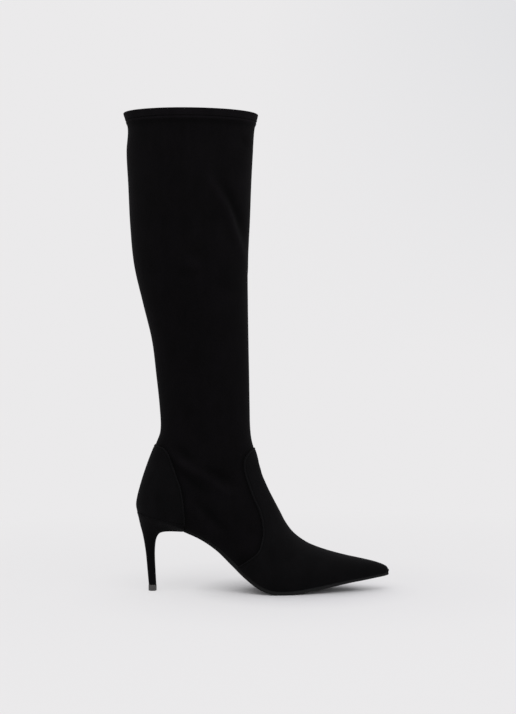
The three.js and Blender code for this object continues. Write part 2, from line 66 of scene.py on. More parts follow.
# Walls and layers: depths inside the outer form, OVERLAY heights outside it, how far below the collar
# the lining starts, and how far behind the toe the inside ends
WALL = 1.8
SUEDE_DEPTH = 1.2
LINING_DEPTH = 1.25
LINING_TOP = 12.0
INSIDE_BACK = 45.0
OVERLAY_TOP = 1.15
OVERLAY_UNDERSIDE = 0.05
GAP = 0.3

# Sole and insole
SOLE_THICKNESS = 4.0
SOLE_TIP_THICKNESS = 2.5
SOLE_TOP = -0.1
SOLE_EDGE = 0.9
SOLE_ROUNDING = 0.7
SOLE_LAP = 3.0
SOLE_HIDDEN = 1.0
SOLE_SHOWS = (-1.0, 3.0)
WAIST_THINNER = 1.1
WAIST_LENGTH = 45.0
WAIST_EDGE = 0.45
INSOLE_THICKNESS = 2.0
INSOLE_START = 5.4
INSOLE_BACK = 26.0
INSOLE_INSET = 0.6
INSOLE_ROUNDING = 0.5

# Heel and its top piece
STEM_LENGTH = 7.9
STEM_WIDTH = 8.6
STEM_CENTRE = 16.3
STEM_SQUARE = 2.6
STEM_END_SHARE = 0.93
STEM_END_RISE = 0.3
TIP_EDGE = 0.3
CUP_FALL = 0.075
CUP_SKIN = 1.4
CUP_BLEND = 7.0
CUP_WIDENS = (1.0, 12.0)
RIM_LAP = 1.8

# The toe's round nose: its length, where it starts before the last section, and its rows from there
NOSE = 1.5
NOSE_BACK = 3.0
NOSE_STEPS = (-2.4, -1.7, -1.0, -0.4, 0.15, 0.6, 0.95, 1.2, 1.38)
NOSE_POINT = 0.2

# Soft ridges and troughs across a seam or hem: height, place and width
HEM_THICKNESS = 0.7
HEM_DEPTH = 8.0
HEM_EDGE = (-0.5, 0.2)
HEM_WAVES = ((-0.25, 0.1, 0.5), (0.75, 2.3, 1.7))
BACK_SEAM_WAVES = ((0.18, 1.6, 0.9), (-0.4, 0.0, 0.5))
BACK_SEAM_END = (-30.0, -10.0)
STITCH_LEVEL = 2.0
EDGE_LEVELS = (0, 0.15, 0.4, 0.8, 1.3, 1.6, STITCH_LEVEL, 2.4, 2.8)
SEWN_EDGE = {
    "stitched": True,
    "levels": EDGE_LEVELS,
    "lip_width": 0.8,
    "lip_start": 0.5,
    "waves": ((-0.42, STITCH_LEVEL, 0.5), (0.12, 1.0, 0.5)),
    # The last entry paints a highlight on the edge's lip and shade in its sewn groove
    "painted_light": ((0.9, 0.6, 1.0), (-0.5, STITCH_LEVEL, 0.5)),
}
TUCKED_EDGE = {
    "stitched": False,
    "levels": EDGE_LEVELS[:4],
    "lip_width": 0.5,
    "lip_start": 0.6,
    "waves": (),
    "painted_light": (),
}

# Painted light and shade on the suede, from about -1 where shade is painted dark to 1 where a highlight is
# painted bright
# Fold lift per step of painted light: the folds' ridges are painted bright and their troughs dark
FOLD_LIFT_PER_PAINTED_LIGHT = 2.2
# Painted highlights on the hem band and on the roll under it, painted shade below the roll, and painted shade
# beside the overlays' edges
HEM_PAINTED_HIGHLIGHT = 0.95
HEM_PAINTED_HIGHLIGHT_FADE = (-0.6, 0.0)
HEM_PAINTED_LIGHT_WAVES = ((1.3, 1.4, 1.3), (-0.5, 6.0, 2.6))
SEAM_SHADE = ((-0.75, 0.0, 2.8),)
SEAM_SHADE_START = -80.0

# Stitches
THREAD_RADIUS = 0.2
THREAD_SIDES = 6
THREAD_BULGE = (0.35, 0.85, 1.0, 0.85, 0.35)
THREAD_LEAN = (0.3, 1, 0.2)
STITCH_PITCH = 2.7
STITCH_SHARE = 0.72
STITCH_NEAR = 0.06
SHORTEST_LINE = 4
HEM_STITCH_RISE = 1.0
HEM_STITCH_LIFT = 0.05

# How the folds fade
FOLD_TAPER = 0.8
FEATHER_END = 0.24
INSIDE_DEPTH = 1.15
INSIDE_SPREAD = 1.7
INNER_SIDE_CALM = 0.45
INNER_SIDE_STARTS = (0.9, 1.3)
INNER_SIDE_ENDS = (1.8, 2.0)

# How the walls turn round the seat's corner without a crease: how widely the bottom's line is evened out,
# how far from the corner that is felt, and how soon it is felt above the flat
WALL_SOFTNESS = 8.0
SOFT_REACH = 26.0
SOFT_LOW = 0.3

# Turns round a section: 0 is the middle of its bottom or back, 1 its top or front by the outer side, and
# 2 the bottom again by the inner side. On each side the flat ends at FLAT_TURN, and the widest place is
# at WIDE_TURN.
FLAT_TURN = 0.12
WIDE_TURN = 0.5
OVERLAY_START_TURN = 0.13
BACK_TURNS = (0, 0.012, 0.024, 0.04, 0.075)

# Fineness of the meshes, in millimetres or counts
STATION_STEP = 0.8
TURN_STEP = 0.008
FRAME_STEP = 2.0
SOFT_SAMPLES = 1200
UNDERSIDE_SAMPLES = 4000
SEAM_STEPS = 12
FOLD_STEPS = 5
CORNER_STEPS = (-0.9, -0.3, 0, 0.15, 0.5, 1.0, 1.8)
HEM_ROWS = (
    1.4, 2.4, 3.6, 5, 6.2, 6.9, 7.3, 7.6, 7.9, 8.2, 8.5, 8.9, 9.5, 10.3, 11.2, 12.2, 13.2, 14.4, 16,
)
HEM_LINE_TURNS = 240
COLLAR_STEPS = 9
UPPER_MESH = {"low": 34, "high": 42, "step": 2.6}
LINING_MESH = {"low": 26, "high": 32, "step": 3.6}
VAMP_MESH = {"start": -70, "step": 2.2, "low": 34, "high": 44}
COUNTER_MESH = {"start": -75, "end": 62, "step": 1.8, "low": 40, "high": 40}
HEEL_FORM_MESH = {"start": -40, "end": 90, "step": 1.5, "low": 30, "high": 30}
SOLE_RINGS = 190
INSOLE_RINGS = 80
ROUND_STEPS = 6
ROUND_MOST = 0.45
TOP_EASE = 0.2
HEEL_ANGLES = 144
HEEL_ROWS = 90
HEEL_SAMPLES = 400
HEEL_UNDERSIDE_SAMPLES = 300
HEEL_SMOOTHING = 14
TIP_SIDES = 48

UNDER = SOLE_THICKNESS + GAP
ANKLE_HEIGHT = HEEL_HEIGHT + ANKLE_RISE
SEAT_RADIUS = SEAT_WIDTH / 2
BACK_HALF = 0.2 * SEAT_RADIUS

# The row's origin is under the middle of its box, so the heel's top piece tells how far it was moved.
tip_low, tip_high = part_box("heel_tip")
SHIFT = STEM_CENTRE - (tip_low[0] + tip_high[0]) / 2 / MM


def table(columns, *rows):
    """Rows of numbers under named columns."""
    return [dict(zip(columns, row)) for row in rows]


# Sections of the leg from the collar down, in shares of its height, length and width
LEG_SECTIONS = table(
    ("back_height", "front_height", "back", "front", "half", "level"),
    (1.0, 0.998, 0.61, 0.388, 0.497, 0.47),
    (0.973, 0.971, 0.59, 0.374, 0.489, 0.47),
    (0.941, 0.94, 0.579, 0.362, 0.484, 0.46),
    (0.876, 0.874, 0.589, 0.353, 0.492, 0.45),
    (0.773, 0.773, 0.577, 0.341, 0.505, 0.44),
    (0.634, 0.634, 0.561, 0.329, 0.5, 0.43),
    (0.51, 0.51, 0.532, 0.315, 0.473, 0.43),
    (0.387, 0.387, 0.466, 0.316, 0.43, 0.44),
    (0.269, 0.269, 0.4, 0.32, 0.392, 0.45),
    (0.155, 0.155, 0.367, 0.325, 0.36, 0.46),
    (0.047, 0.047, 0.341, 0.329, 0.342, 0.47),
)

# Sections of the ankle and foot, fanned round the instep, in shares of the foot's sizes
FOOT_SECTIONS = table(
    (
        "x", "seat", "spring", "rise", "top_x", "top", "sole",
        "sole_shift", "wide", "wide_shift", "top_shift", "level", "low", "high",
    ),
    (0.094, 1, 0, 0.921, 0.449, 0.959, 0, 0, 0.414, 0, 0, 0.47, 2, 2),
    (0.075, 1, 0, 0.764, 0.4545, 0.818, 0, 0, 0.41, 0, 0, 0.46, 2, 2),
    (0.047, 1, 0, 0.559, 0.4655, 0.705, 0, 0, 0.412, 0, 0, 0.45, 2, 1.95),
    (0.0195, 1, 0, 0.321, 0.4725, 0.64, 0, 0, 0.414, 0, 0.002, 0.43, 2, 1.9),
    (0.002, 1, 0, 0.105, 0.4775, 0.581, 0, 0, 0.41, 0, 0.004, 0.4, 2, 1.85),
    (0.007, 1, 0, 0, 0.48, 0.543, 0.322, 0, 0.404, 0, 0.006, 0.37, 1.95, 1.8),
    (0.061, 0.945, 0, 0, 0.4856, 0.535, 0.322, 0, 0.405, 0, 0.009, 0.35, 1.85, 1.78),
    (0.125, 0.881, 0, 0, 0.493, 0.514, 0.322, 0, 0.402, -0.003, 0.013, 0.34, 1.75, 1.75),
    (0.197, 0.791, 0, 0, 0.5057, 0.503, 0.293, -0.003, 0.395, -0.007, 0.02, 0.33, 1.7, 1.72),
    (0.265, 0.686, 0, 0, 0.5216, 0.493, 0.245, -0.02, 0.386, -0.016, 0.026, 0.33, 1.65, 1.7),
    (0.33, 0.541, 0, 0, 0.542, 0.502, 0.228, -0.037, 0.388, -0.026, 0.032, 0.33, 1.65, 1.7),
    (0.386, 0.364, 0, 0, 0.563, 0.537, 0.254, -0.05, 0.408, -0.033, 0.04, 0.32, 1.65, 1.7),
    (0.443, 0.185, 0, 0, 0.587, 0.558, 0.326, -0.05, 0.447, -0.033, 0.05, 0.3, 1.65, 1.7),
    (0.5, 0.053, 0, 0, 0.619, 0.551, 0.412, -0.029, 0.484, -0.022, 0.06, 0.28, 1.65, 1.72),
    (0.557, 0, 0, 0, 0.665, 0.496, 0.454, -0.007, 0.499, -0.005, 0.07, 0.27, 1.65, 1.75),
    (0.614, 0, 0, 0, 0.71, 0.435, 0.447, 0.013, 0.487, 0.013, 0.08, 0.28, 1.65, 1.8),
    (0.682, 0, 0.177, 0, 0.7655, 0.355, 0.401, 0.026, 0.441, 0.026, 0.086, 0.3, 1.65, 1.85),
    (0.758, 0, 0.387, 0, 0.824, 0.279, 0.329, 0.04, 0.366, 0.037, 0.088, 0.32, 1.65, 1.9),
    (0.833, 0, 0.603, 0, 0.881, 0.211, 0.237, 0.053, 0.274, 0.05, 0.084, 0.35, 1.7, 1.95),
    (0.898, 0, 0.752, 0, 0.928, 0.159, 0.158, 0.059, 0.19, 0.058, 0.078, 0.38, 1.75, 2),
    (0.947, 0, 0.872, 0, 0.964, 0.111, 0.096, 0.063, 0.124, 0.061, 0.072, 0.42, 1.8, 2),
    (0.979, 0, 0.95, 0, 0.986, 0.071, 0.05, 0.063, 0.074, 0.061, 0.066, 0.45, 1.9, 2),
    (0.9935, 0, 1, 0, 0.996, 0.037, 0.02, 0.063, 0.038, 0.062, 0.063, 0.48, 2, 2),
)

# Levels of the heel from the stem up: level in shares of HEEL_HEIGHT, back and front of BREAST
HEEL_LEVELS = table(
    ("level", "back", "front", "half", "square"),
    (0.0766, 0.2287, 0.375, 0.0878, 2.6),
    (0.24, 0.206, 0.361, 0.092, 2.6),
    (0.48, 0.172, 0.346, 0.108, 2.6),
    (0.62, 0.14, 0.359, 0.146, 2.6),
    (0.69, 0.12, 0.389, 0.19, 2.6),
    (0.735, 0.105, 0.44, 0.232, 2.7),
    (0.763, 0.094, 0.54, 0.265, 3),
    (0.778, 0.088, 0.75, 0.29, 4),
    (0.788, 0.083, 1, 0.305, 6),
    (0.83, 0.065, 1, 0.37, 6),
    (0.91, 0.038, 1, 0.45, 6),
    (1.03, -0.006, 1, 0.53, 6),
)

# Rows of the top piece: height from the floor, and how far its edge stands out or in
TIP_ROWS = ((0.0, -0.35), (0.12, -0.1), (0.35, 0.0), (5.7, 0.0), (5.95, -0.06), (6.2, -0.25))

# Rings that close the sole's point: how far ahead they are, and their share of its last ring's size
SOLE_POINT = ((0.6, 0.85), (1.1, 0.55), (1.4, 0.2))

# Side view lines: x is a share of the named length, z a share of ANKLE_RISE above the heel seat
COUNTER_EDGE = (
    (0.1, 0.775), (0.49, 0.747), (0.626, 0.683), (0.704, 0.572), (0.797, 0.427),
    (0.875, 0.294), (0.922, 0.137), (0.95, -0.042), (0.96, -0.19),
)
VAMP_EDGE = (
    (0.49, 0.76), (0.462, 0.722), (0.433, 0.644), (0.423, 0.551), (0.43, 0.415), (0.46, 0.17), (0.482, 0.039),
    (0.4945, -0.09), (0.4985, -0.206), (0.4925, -0.318), (0.479, -0.413), (0.4505, -0.484), (0.4025, -0.58),
)
HEEL_RIM = ((-0.147, 0.022), (0.22, -0.03), (0.464, -0.057), (0.684, -0.09), (1.076, -0.125))

# Folds in side view: how far a ridge stands out, or below nothing how deep a trough is, its width and its
# line. Those of the foot have x in shares of FOOT_LENGTH and z in shares of ANKLE_RISE above the heel
# seat, those of the leg x in shares of COLLAR_LENGTH from its centre and z in shares of LEG_HEIGHT above
# the ankle.
FOOT_FOLDS = (
    (2.2, 3.8, (
        (0.112, 0.77), (0.14, 0.69), (0.172, 0.613), (0.219, 0.517), (0.267, 0.435),
        (0.314, 0.341), (0.361, 0.245), (0.395, 0.2),
    )),
    (-1.5, 3.8, ((0.128, 0.67), (0.145, 0.6), (0.18, 0.48), (0.238, 0.341), (0.31, 0.22))),
    (-1.2, 3.8, ((0.16, 0.775), (0.195, 0.68), (0.24, 0.59))),
    (-1.2, 4.4, ((0.265, 0.55), (0.318, 0.45), (0.385, 0.345), (0.42, 0.29))),
    (1.5, 4.4, ((0.2, 0.18), (0.24, 0.04), (0.285, -0.1), (0.335, -0.23))),
    (-1.2, 4.6, ((0.235, 0.2), (0.28, 0.04), (0.33, -0.1), (0.38, -0.21))),
    (-1.3, 6.0, ((0.4, -0.44), (0.42, -0.5), (0.44, -0.56))),
)
LEG_FOLDS = (
    (2.2, 4.0, (
        (0.0, 0.81), (0.03, 0.787), (0.088, 0.74), (0.151, 0.693), (0.183, 0.658),
        (0.212, 0.62), (0.248, 0.576), (0.277, 0.535), (0.306, 0.482),
    )),
    (-2.0, 5.0, ((0.11, 0.78), (0.17, 0.735), (0.22, 0.69), (0.26, 0.64), (0.29, 0.58))),
    (-1.2, 4.5, ((0.27, 0.92), (0.29, 0.9), (0.3, 0.88))),
    (1.3, 7.0, ((-0.14, 0.515), (-0.083, 0.507), (-0.02, 0.503))),
    (-0.8, 6.5, ((-0.19, 0.487), (-0.123, 0.479), (-0.04, 0.474))),
    (-0.8, 7.0, ((0.04, 0.458), (0.15, 0.44), (0.27, 0.428))),
)

# Looks of the two suedes: their darkest and lightest colour and their sheen
STRETCH_SUEDE = ((0.0011, 0.0009, 0.00115), (0.0021, 0.0017, 0.00222), 0.013)
SUEDE = ((0.0014, 0.0013, 0.0015), (0.0028, 0.0026, 0.003), 0.016)
SHEEN_TINT = (0.75, 0.72, 0.8, 1)
# How far the painted light and shade darken or lighten the suede's colour
PAINTED_LIGHT_RANGE = {"From Min": -1.2, "From Max": 1.2, "To Min": 0.08, "To Max": 1.92}
SOLE_SHADE_RANGE = {"From Min": -0.05, "From Max": 0.03, "To Min": 0.12, "To Max": 0.6}

# Studio and camera, in metres and watts
PAPER = (0.83, 0.822, 0.83, 1)
CORNER_PAPER = (0.765, 0.765, 0.78, 1)
CORNER_REACH = (("X", 0.17), ("Z", 0.22))
FLOOR_COLOUR = (0.69, 0.685, 0.7, 1)
FLOOR_CENTRE = (0.05, 0.0, 0.0)
FLOOR_GLOW = ((0.05, 0.0), (0.12, 0.62), (0.25, 0.85), (0.8, 1.0))
FLOOR_RINGS = (0.15, 0.3, 0.6, 1.2, 5.0, 60.0)
FLOOR_SIDES = 64
LIGHTS = table(
    ("name", "place", "aim", "size", "power"),
    ("overhead_softbox", (0.0, -1.0, 1.5), (0.05, 0, 0.05), (1.6, 1.2), 11),
    ("side_softbox", (1.3, -0.75, 0.6), (0.05, 0, 0.1), (0.8, 0.8), 3.6),
)
LENS = 74.62
CAMERA_PLACE = (0.00154, -1.55, 0.2443)
CAMERA_REACH = (0.05, 100)


# Curves and soft steps

def unit(vectors):
    return vectors / np.maximum(np.linalg.norm(vectors, axis=-1, keepdims=True), TINY)


def smooth_step(value, start, end):
    share = np.clip((value - start) / (end - start), 0, 1)
    return share * share * (3 - 2 * share)


def bump(distance, width):
    return np.exp(-((distance / width) ** 2))


def relief(value, waves):
    """Soft ridges and troughs, each of a height, at a place and of a width."""
    return sum(height * bump(value - place, width) for height, place, width in waves)


def cubic(share, length, start, end, start_slope, end_slope):
    """Cubic over an interval, from its values and slopes at both ends."""
    return (
        start * (1 + 2 * share) * (1 - share) ** 2
        + start_slope * length * share * (1 - share) ** 2
        + end * share**2 * (3 - 2 * share)
        + end_slope * length * share**2 * (share - 1)
    )


def steady_curve(places, values, at):
    """Curve through values that never overshoots them."""
    rise = np.diff(values) / np.diff(places)
    before, after = rise[:-1], rise[1:]
    inner = np.where(before * after > 0, 2 * before * after / (before + after + TINY), 0)
    slope = np.concatenate([[rise[0]], inner, [rise[-1]]])
    i = np.clip(np.searchsorted(places, at, side="right") - 1, 0, len(places) - 2)
    length = places[i + 1] - places[i]
    return cubic((at - places[i]) / length, length, values[i], values[i + 1], slope[i], slope[i + 1])


def smooth_line(points, steps):
    """Smooth curve through points, in steps between each pair."""
    points = np.asarray(points, float)
    padded = np.vstack([2 * points[0] - points[1], points, 2 * points[-1] - points[-2]])
    share = np.linspace(0, 1, steps, endpoint=False)[:, None]
    pieces = []
    for a, b, c, d in zip(padded, padded[1:], padded[2:], padded[3:]):
        pieces.append(
            b + (c - a) * share / 2
            + (a - 2.5 * b + 2 * c - d / 2) * share**2
            + (1.5 * (b - c) + (d - a) / 2) * share**3
        )
    return np.vstack([*pieces, points[-1:]])


def travelled_along(line):
    """How far along a line each of its points is."""
    return np.concatenate([[0], np.cumsum(np.linalg.norm(np.diff(line, axis=0), axis=1))])


def points_along(line, places):
    """Points of a line at ways travelled along it."""
    travelled = travelled_along(line)
    return np.stack([np.interp(places, travelled, line[:, i]) for i in range(3)], axis=-1)


def nearest_on_line(points, line):
    """Distance from side view points to a line, the signed side of it, and how far along it they are."""
    best = np.full(points.shape[0], np.inf)
    side = np.zeros(points.shape[0])
    along = np.zeros(points.shape[0])
    travelled = 0.0
    for start, end in zip(line[:-1], line[1:]):
        way = end - start
        length = math.hypot(*way)
        offset = points - start
        share = np.clip(offset @ way / length**2, 0, 1)
        gap = offset - share[:, None] * way
        distance = np.hypot(gap[:, 0], gap[:, 1])
        nearer = distance < best
        best = np.where(nearer, distance, best)
        cross = way[0] * offset[:, 1] - way[1] * offset[:, 0]
        side = np.where(nearer, np.sign(cross), side)
        along = np.where(nearer, travelled + share * length, along)
        travelled += length
    return best, side, along / travelled


# The outer form of leg and foot

def columns_of(rows):
    return {key: np.array([row[key] for row in rows], float) for key in rows[0]}


def leg_form(leg):
    return {
        "bottom_x": LEG_CENTRE - leg["back"] * COLLAR_LENGTH,
        "bottom_z": ANKLE_HEIGHT + leg["back_height"] * LEG_HEIGHT,
        "top_x": LEG_CENTRE + leg["front"] * COLLAR_LENGTH,
        "top_z": ANKLE_HEIGHT + leg["front_height"] * LEG_HEIGHT,
        "wide_half": leg["half"] * COLLAR_WIDTH,
        "level": leg["level"],
        "low": np.full(len(LEG_SECTIONS), 2),
        "high": np.full(len(LEG_SECTIONS), 2),
    }


def foot_form(foot):
    line = UNDER + foot["seat"] * (HEEL_HEIGHT - UNDER) + foot["spring"] * TOE_SPRING
    return {
        "bottom_x": foot["x"] * FOOT_LENGTH,
        "bottom_z": line + foot["rise"] * ANKLE_RISE,
        "top_x": foot["top_x"] * FOOT_LENGTH,
        "top_z": line + foot["top"] * ANKLE_RISE,
        "bottom_y": foot["sole_shift"] * BALL_WIDTH,
        "bottom_half": foot["sole"] * BALL_WIDTH,
        "wide_y": foot["wide_shift"] * BALL_WIDTH,
        "wide_half": foot["wide"] * BALL_WIDTH,
        "top_y": foot["top_shift"] * BALL_WIDTH,
        "level": foot["level"],
        "low": foot["low"],
        "high": foot["high"],
    }


# The leg is even from side to side and has no flat underneath, so the rest of its values are nothing.
LEG_FORM = leg_form(columns_of(LEG_SECTIONS))
FOOT_FORM = foot_form(columns_of(FOOT_SECTIONS))
NOTHING = np.zeros(len(LEG_SECTIONS))
COLUMNS = {key: np.concatenate([LEG_FORM.get(key, NOTHING), foot]) for key, foot in FOOT_FORM.items()}
BOTTOM_KEYS = ("bottom_x", "bottom_z", "bottom_half", "bottom_y")
LAST_SECTION = len(COLUMNS["level"]) - 1
CORNER = len(LEG_SECTIONS) + next(i for i, row in enumerate(FOOT_SECTIONS) if row["rise"] == 0)
WAYS = (
    np.hypot(np.diff(COLUMNS["bottom_x"]), np.diff(COLUMNS["bottom_z"]))
    + np.hypot(np.diff(COLUMNS["top_x"]), np.diff(COLUMNS["top_z"]))
) / 2
STATIONS = np.concatenate([[0.0], np.cumsum(WAYS)])
SEAT_START = STATIONS[CORNER]
TOE_END = STATIONS[-1]
NOSE_START = TOE_END - NOSE_BACK
NOSE_ROWS = TOE_END + np.array(NOSE_STEPS)


def slopes(values, first, last):
    """Slope of the cubic at each section, looking no further than the sections first to last."""
    places = np.arange(first, last + 1)
    before = np.maximum(first, places - 1)
    after = np.minimum(last, places + 1)
    return (values[after] - values[before]) / (STATIONS[after] - STATIONS[before])


def interval_slopes(key, values):
    """Slopes at the start and end of every interval, with the bottom line's sharp turn at the corner."""
    if key in BOTTOM_KEYS:
        upper = slopes(values, 0, CORNER)
        lower = slopes(values, CORNER, LAST_SECTION)
        return np.concatenate([upper[:-1], lower[:-1]]), np.concatenate([upper[1:], lower[1:]])
    bend = slopes(values, 0, LAST_SECTION)
    return bend[:-1], bend[1:]


CURVES = {key: interval_slopes(key, values) for key, values in COLUMNS.items()}


def sections_at(station):
    """Every value of the sections at an array of stations."""
    station = np.clip(station, 0, TOE_END)
    interval = np.clip(np.searchsorted(STATIONS, station, side="right") - 1, 0, LAST_SECTION - 1)
    length = STATIONS[interval + 1] - STATIONS[interval]
    share = (station - STATIONS[interval]) / length
    found = {}
    for key, values in COLUMNS.items():
        start, end = values[interval], values[interval + 1]
        start_slope, end_slope = (slope[interval] for slope in CURVES[key])
        found[key] = cubic(share, length, start, end, start_slope, end_slope)
    on_foot = station >= SEAT_START
    seat_back = COLUMNS["bottom_x"][CORNER] - (SEAT_RADIUS - math.sqrt(SEAT_RADIUS**2 - BACK_HALF**2))
    ahead = np.clip((found["bottom_x"] - seat_back) / SEAT_RADIUS, 0, 1)
    seat_round = np.sqrt(1 - (1 - ahead) ** 2)
    found["bottom_half"] = np.where(on_foot, found["bottom_half"] * seat_round, BACK_HALF)
    found["bottom_y"] = np.where(on_foot, found["bottom_y"], 0)
    found["bottom_z"] = np.where(on_foot, np.maximum(found["bottom_z"], UNDER), found["bottom_z"])
    return found


SOFT_PLACES = np.linspace(0, TOE_END, SOFT_SAMPLES)


def softened(key):
    """One of the bottom's values along the stations, evened out so the heel's walls turn without a crease."""
    step = SOFT_PLACES[1] - SOFT_PLACES[0]
    reach = int(3 * WALL_SOFTNESS / step)
    weights = bump(np.arange(-reach, reach + 1) * step, WALL_SOFTNESS)
    padded = np.pad(sections_at(SOFT_PLACES)[key], reach, mode="edge")
    return np.convolve(padded, weights / weights.sum(), mode="valid")


SOFT_WALLS = {key: softened(key) for key in ("bottom_x", "bottom_z", "bottom_half")}


def surface(station, turn):
    """Points of the outer form at stations and turns."""
    section = sections_at(station)
    turn = np.clip(turn, 0, 2)
    side = np.where(turn <= 1, -1.0, 1.0)
    way = np.where(turn <= 1, turn, 2 - turn)
    widest = section["wide_y"] + side * section["wide_half"]
    low = np.clip((way - FLAT_TURN) / (WIDE_TURN - FLAT_TURN), 0, 1) * math.pi / 2
    high = np.clip((way - WIDE_TURN) / (1 - WIDE_TURN), 0, 1) * math.pi / 2
    low_cos, low_sin = np.clip(np.cos(low), 0, 1), np.sin(low)
    high_cos, high_sin = np.clip(np.cos(high), 0, 1), np.sin(high)
    near_seat = bump(station - SEAT_START, SOFT_REACH) * np.clip(low_sin / SOFT_LOW, 0, 1)
    wall = {
        key: section[key] + (np.interp(station, SOFT_PLACES, values) - section[key]) * near_seat
        for key, values in SOFT_WALLS.items()
    }
    wall_edge = section["bottom_y"] + side * wall["bottom_half"]
    flat_y = section["bottom_y"] + side * section["bottom_half"] * np.clip(way / FLAT_TURN, 0, 1)
    low_y = wall_edge + (widest - wall_edge) * low_sin ** (2 / section["low"])
    high_y = section["top_y"] + (widest - section["top_y"]) * high_cos ** (2 / section["high"])
    low_share = section["level"] * (1 - low_cos ** (2 / section["low"]))
    high_share = section["level"] + (1 - section["level"]) * high_sin ** (2 / section["high"])
    share = np.where(way <= WIDE_TURN, low_share, high_share)
    y = np.where(way <= FLAT_TURN, flat_y, np.where(way <= WIDE_TURN, low_y, high_y))
    x = wall["bottom_x"] + (section["top_x"] - wall["bottom_x"]) * share
    z = wall["bottom_z"] + (section["top_z"] - wall["bottom_z"]) * share
    return np.stack([x, y, z], axis=-1)


def side_view(station, turn):
    return surface(station, turn)[..., (0, 2)].reshape(-1, 2)


def outward(station, turn):
    """Unit normals of the outer form."""
    along = surface(np.minimum(station + STATION_STEP, TOE_END), turn)
    along = along - surface(np.maximum(station - STATION_STEP, 0), turn)
    ahead = np.where(turn < TURN_STEP, turn + TURN_STEP, np.minimum(turn + TURN_STEP, 2))
    behind = np.where(turn < TURN_STEP, 2 - TURN_STEP + turn, turn - TURN_STEP)
    return unit(np.cross(along, surface(station, ahead) - surface(station, behind)))


def with_nose(station, turn, offset):
    """Points of the form moved out by an offset. The stations past the last section close a round nose."""
    normal = outward(np.minimum(station, TOE_END), turn)
    section = sections_at(station)
    points = surface(station, turn) + normal * np.asarray(offset)[..., None]
    ahead = np.clip((station - NOSE_START) / (TOE_END + NOSE - NOSE_START), 0, 1)
    middle = np.stack([(section["bottom_" + axis] + section["top_" + axis]) / 2 for axis in "xyz"], axis=-1)
    closing = middle + (points - middle) * np.sqrt(1 - ahead**2)[..., None]
    closing[..., 0] += np.maximum(station - TOE_END, 0)
    return np.where((station > NOSE_START)[..., None], closing, points)


def bottom_frame(station):
    """The sections at stations on the foot, and which way is straight up from its underside, in side view."""
    before = sections_at(np.maximum(station - FRAME_STEP, SEAT_START))
    after = sections_at(np.minimum(station + FRAME_STEP, TOE_END))
    way_x = after["bottom_x"] - before["bottom_x"]
    way_z = after["bottom_z"] - before["bottom_z"]
    length = np.hypot(way_x, way_z)
    return sections_at(station), np.stack([-way_z / length, way_x / length], axis=-1)


def above_sole(points, station):
    """Lifts what has come below the foot's underside back on to it."""
    section, up = bottom_frame(np.clip(station, SEAT_START, TOE_END))
    over_x = points[..., 0] - section["bottom_x"]
    over_z = points[..., 2] - section["bottom_z"]
    height = over_x * up[..., 0] + over_z * up[..., 1]
    lift = np.where(station >= SEAT_START, np.maximum(-height, 0), 0)
    lifted = points.copy()
    lifted[..., 0] += lift * up[..., 0]
    lifted[..., 2] += lift * up[..., 1]
    return lifted


def station_at(x):
    """Station at which the foot's underside comes to a place along it."""
    places = np.linspace(SEAT_START, TOE_END, UNDERSIDE_SAMPLES)
    return float(np.interp(x, sections_at(places)["bottom_x"], places))


def foot_line(points, length, steps):
    """Side view line in millimetres, of points in shares of a length and of ANKLE_RISE above the seat."""
    return smooth_line([(x * length, HEEL_HEIGHT + z * ANKLE_RISE) for x, z in points], steps)


def leg_line(points, steps):
    """Side view line in millimetres, of points in shares of the leg's sizes above the ankle."""
    placed = [(LEG_CENTRE + x * COLLAR_LENGTH, ANKLE_HEIGHT + z * LEG_HEIGHT) for x, z in points]
    return smooth_line(placed, steps)


COUNTER_LINE = foot_line(COUNTER_EDGE, BREAST, SEAM_STEPS)
VAMP_LINE = foot_line(VAMP_EDGE, FOOT_LENGTH, SEAM_STEPS)
RIM_LINE = foot_line(HEEL_RIM, BREAST, SEAM_STEPS)
FOLDS = [(height, width, foot_line(points, FOOT_LENGTH, FOLD_STEPS)) for height, width, points in FOOT_FOLDS]
FOLDS += [(height, width, leg_line(points, FOLD_STEPS)) for height, width, points in LEG_FOLDS]


def folded(station, turn, inside=False):
    """How far the soft folds lift the suede. They die out at the feather edge, where the suede is lasted.
    The inside follows the troughs alone, and more broadly, so the wall keeps its thickness."""
    points = side_view(station, turn)
    lift = np.zeros(len(points))
    for height, width, line in FOLDS:
        distance, _, along = nearest_on_line(points, line)
        taper = np.sin(np.clip(along, 0, 1) * math.pi) ** FOLD_TAPER
        if inside:
            height, width = min(height, 0) * INSIDE_DEPTH, width * INSIDE_SPREAD
        lift += height * bump(distance, width) * taper
    way = np.where(turn <= 1, turn, 2 - turn)
    free = np.where(station > SEAT_START, smooth_step(way, FLAT_TURN, FEATHER_END), 1)
    inner_side = smooth_step(turn, *INNER_SIDE_STARTS) * (1 - smooth_step(turn, *INNER_SIDE_ENDS))
    return lift.reshape(turn.shape) * free * (1 - INNER_SIDE_CALM * inner_side)


# Meshes

def add_object(name, data):
    made = bpy.data.objects.new(name, data)
    bpy.context.scene.collection.objects.link(made)
    return made


def make_object(name, points, faces, material, slot, *nodes, nap_and_painted_light=None):
    """Mesh piece from points in millimetres, on the boot's one body. Its keyword argument gives the light and
    shade painted at each point.
    """
    placed = (np.asarray(points, float).reshape(-1, 3) - (SHIFT, 0, 0)) * MM
    mesh = bpy.data.meshes.new(name)
    mesh.from_pydata(placed.tolist(), [], [list(map(int, face)) for face in faces])
    mesh.validate()
    mesh.shade_smooth()
    if nap_and_painted_light is not None:
        painted_light = mesh.attributes.new("nap_and_painted_light", "FLOAT", "POINT").data
        painted_light.foreach_set("value", np.asarray(nap_and_painted_light, np.float32))
    piece = add_object(name, mesh)
    mesh.materials.append(material)
    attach(piece, "root")
    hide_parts(*nodes)


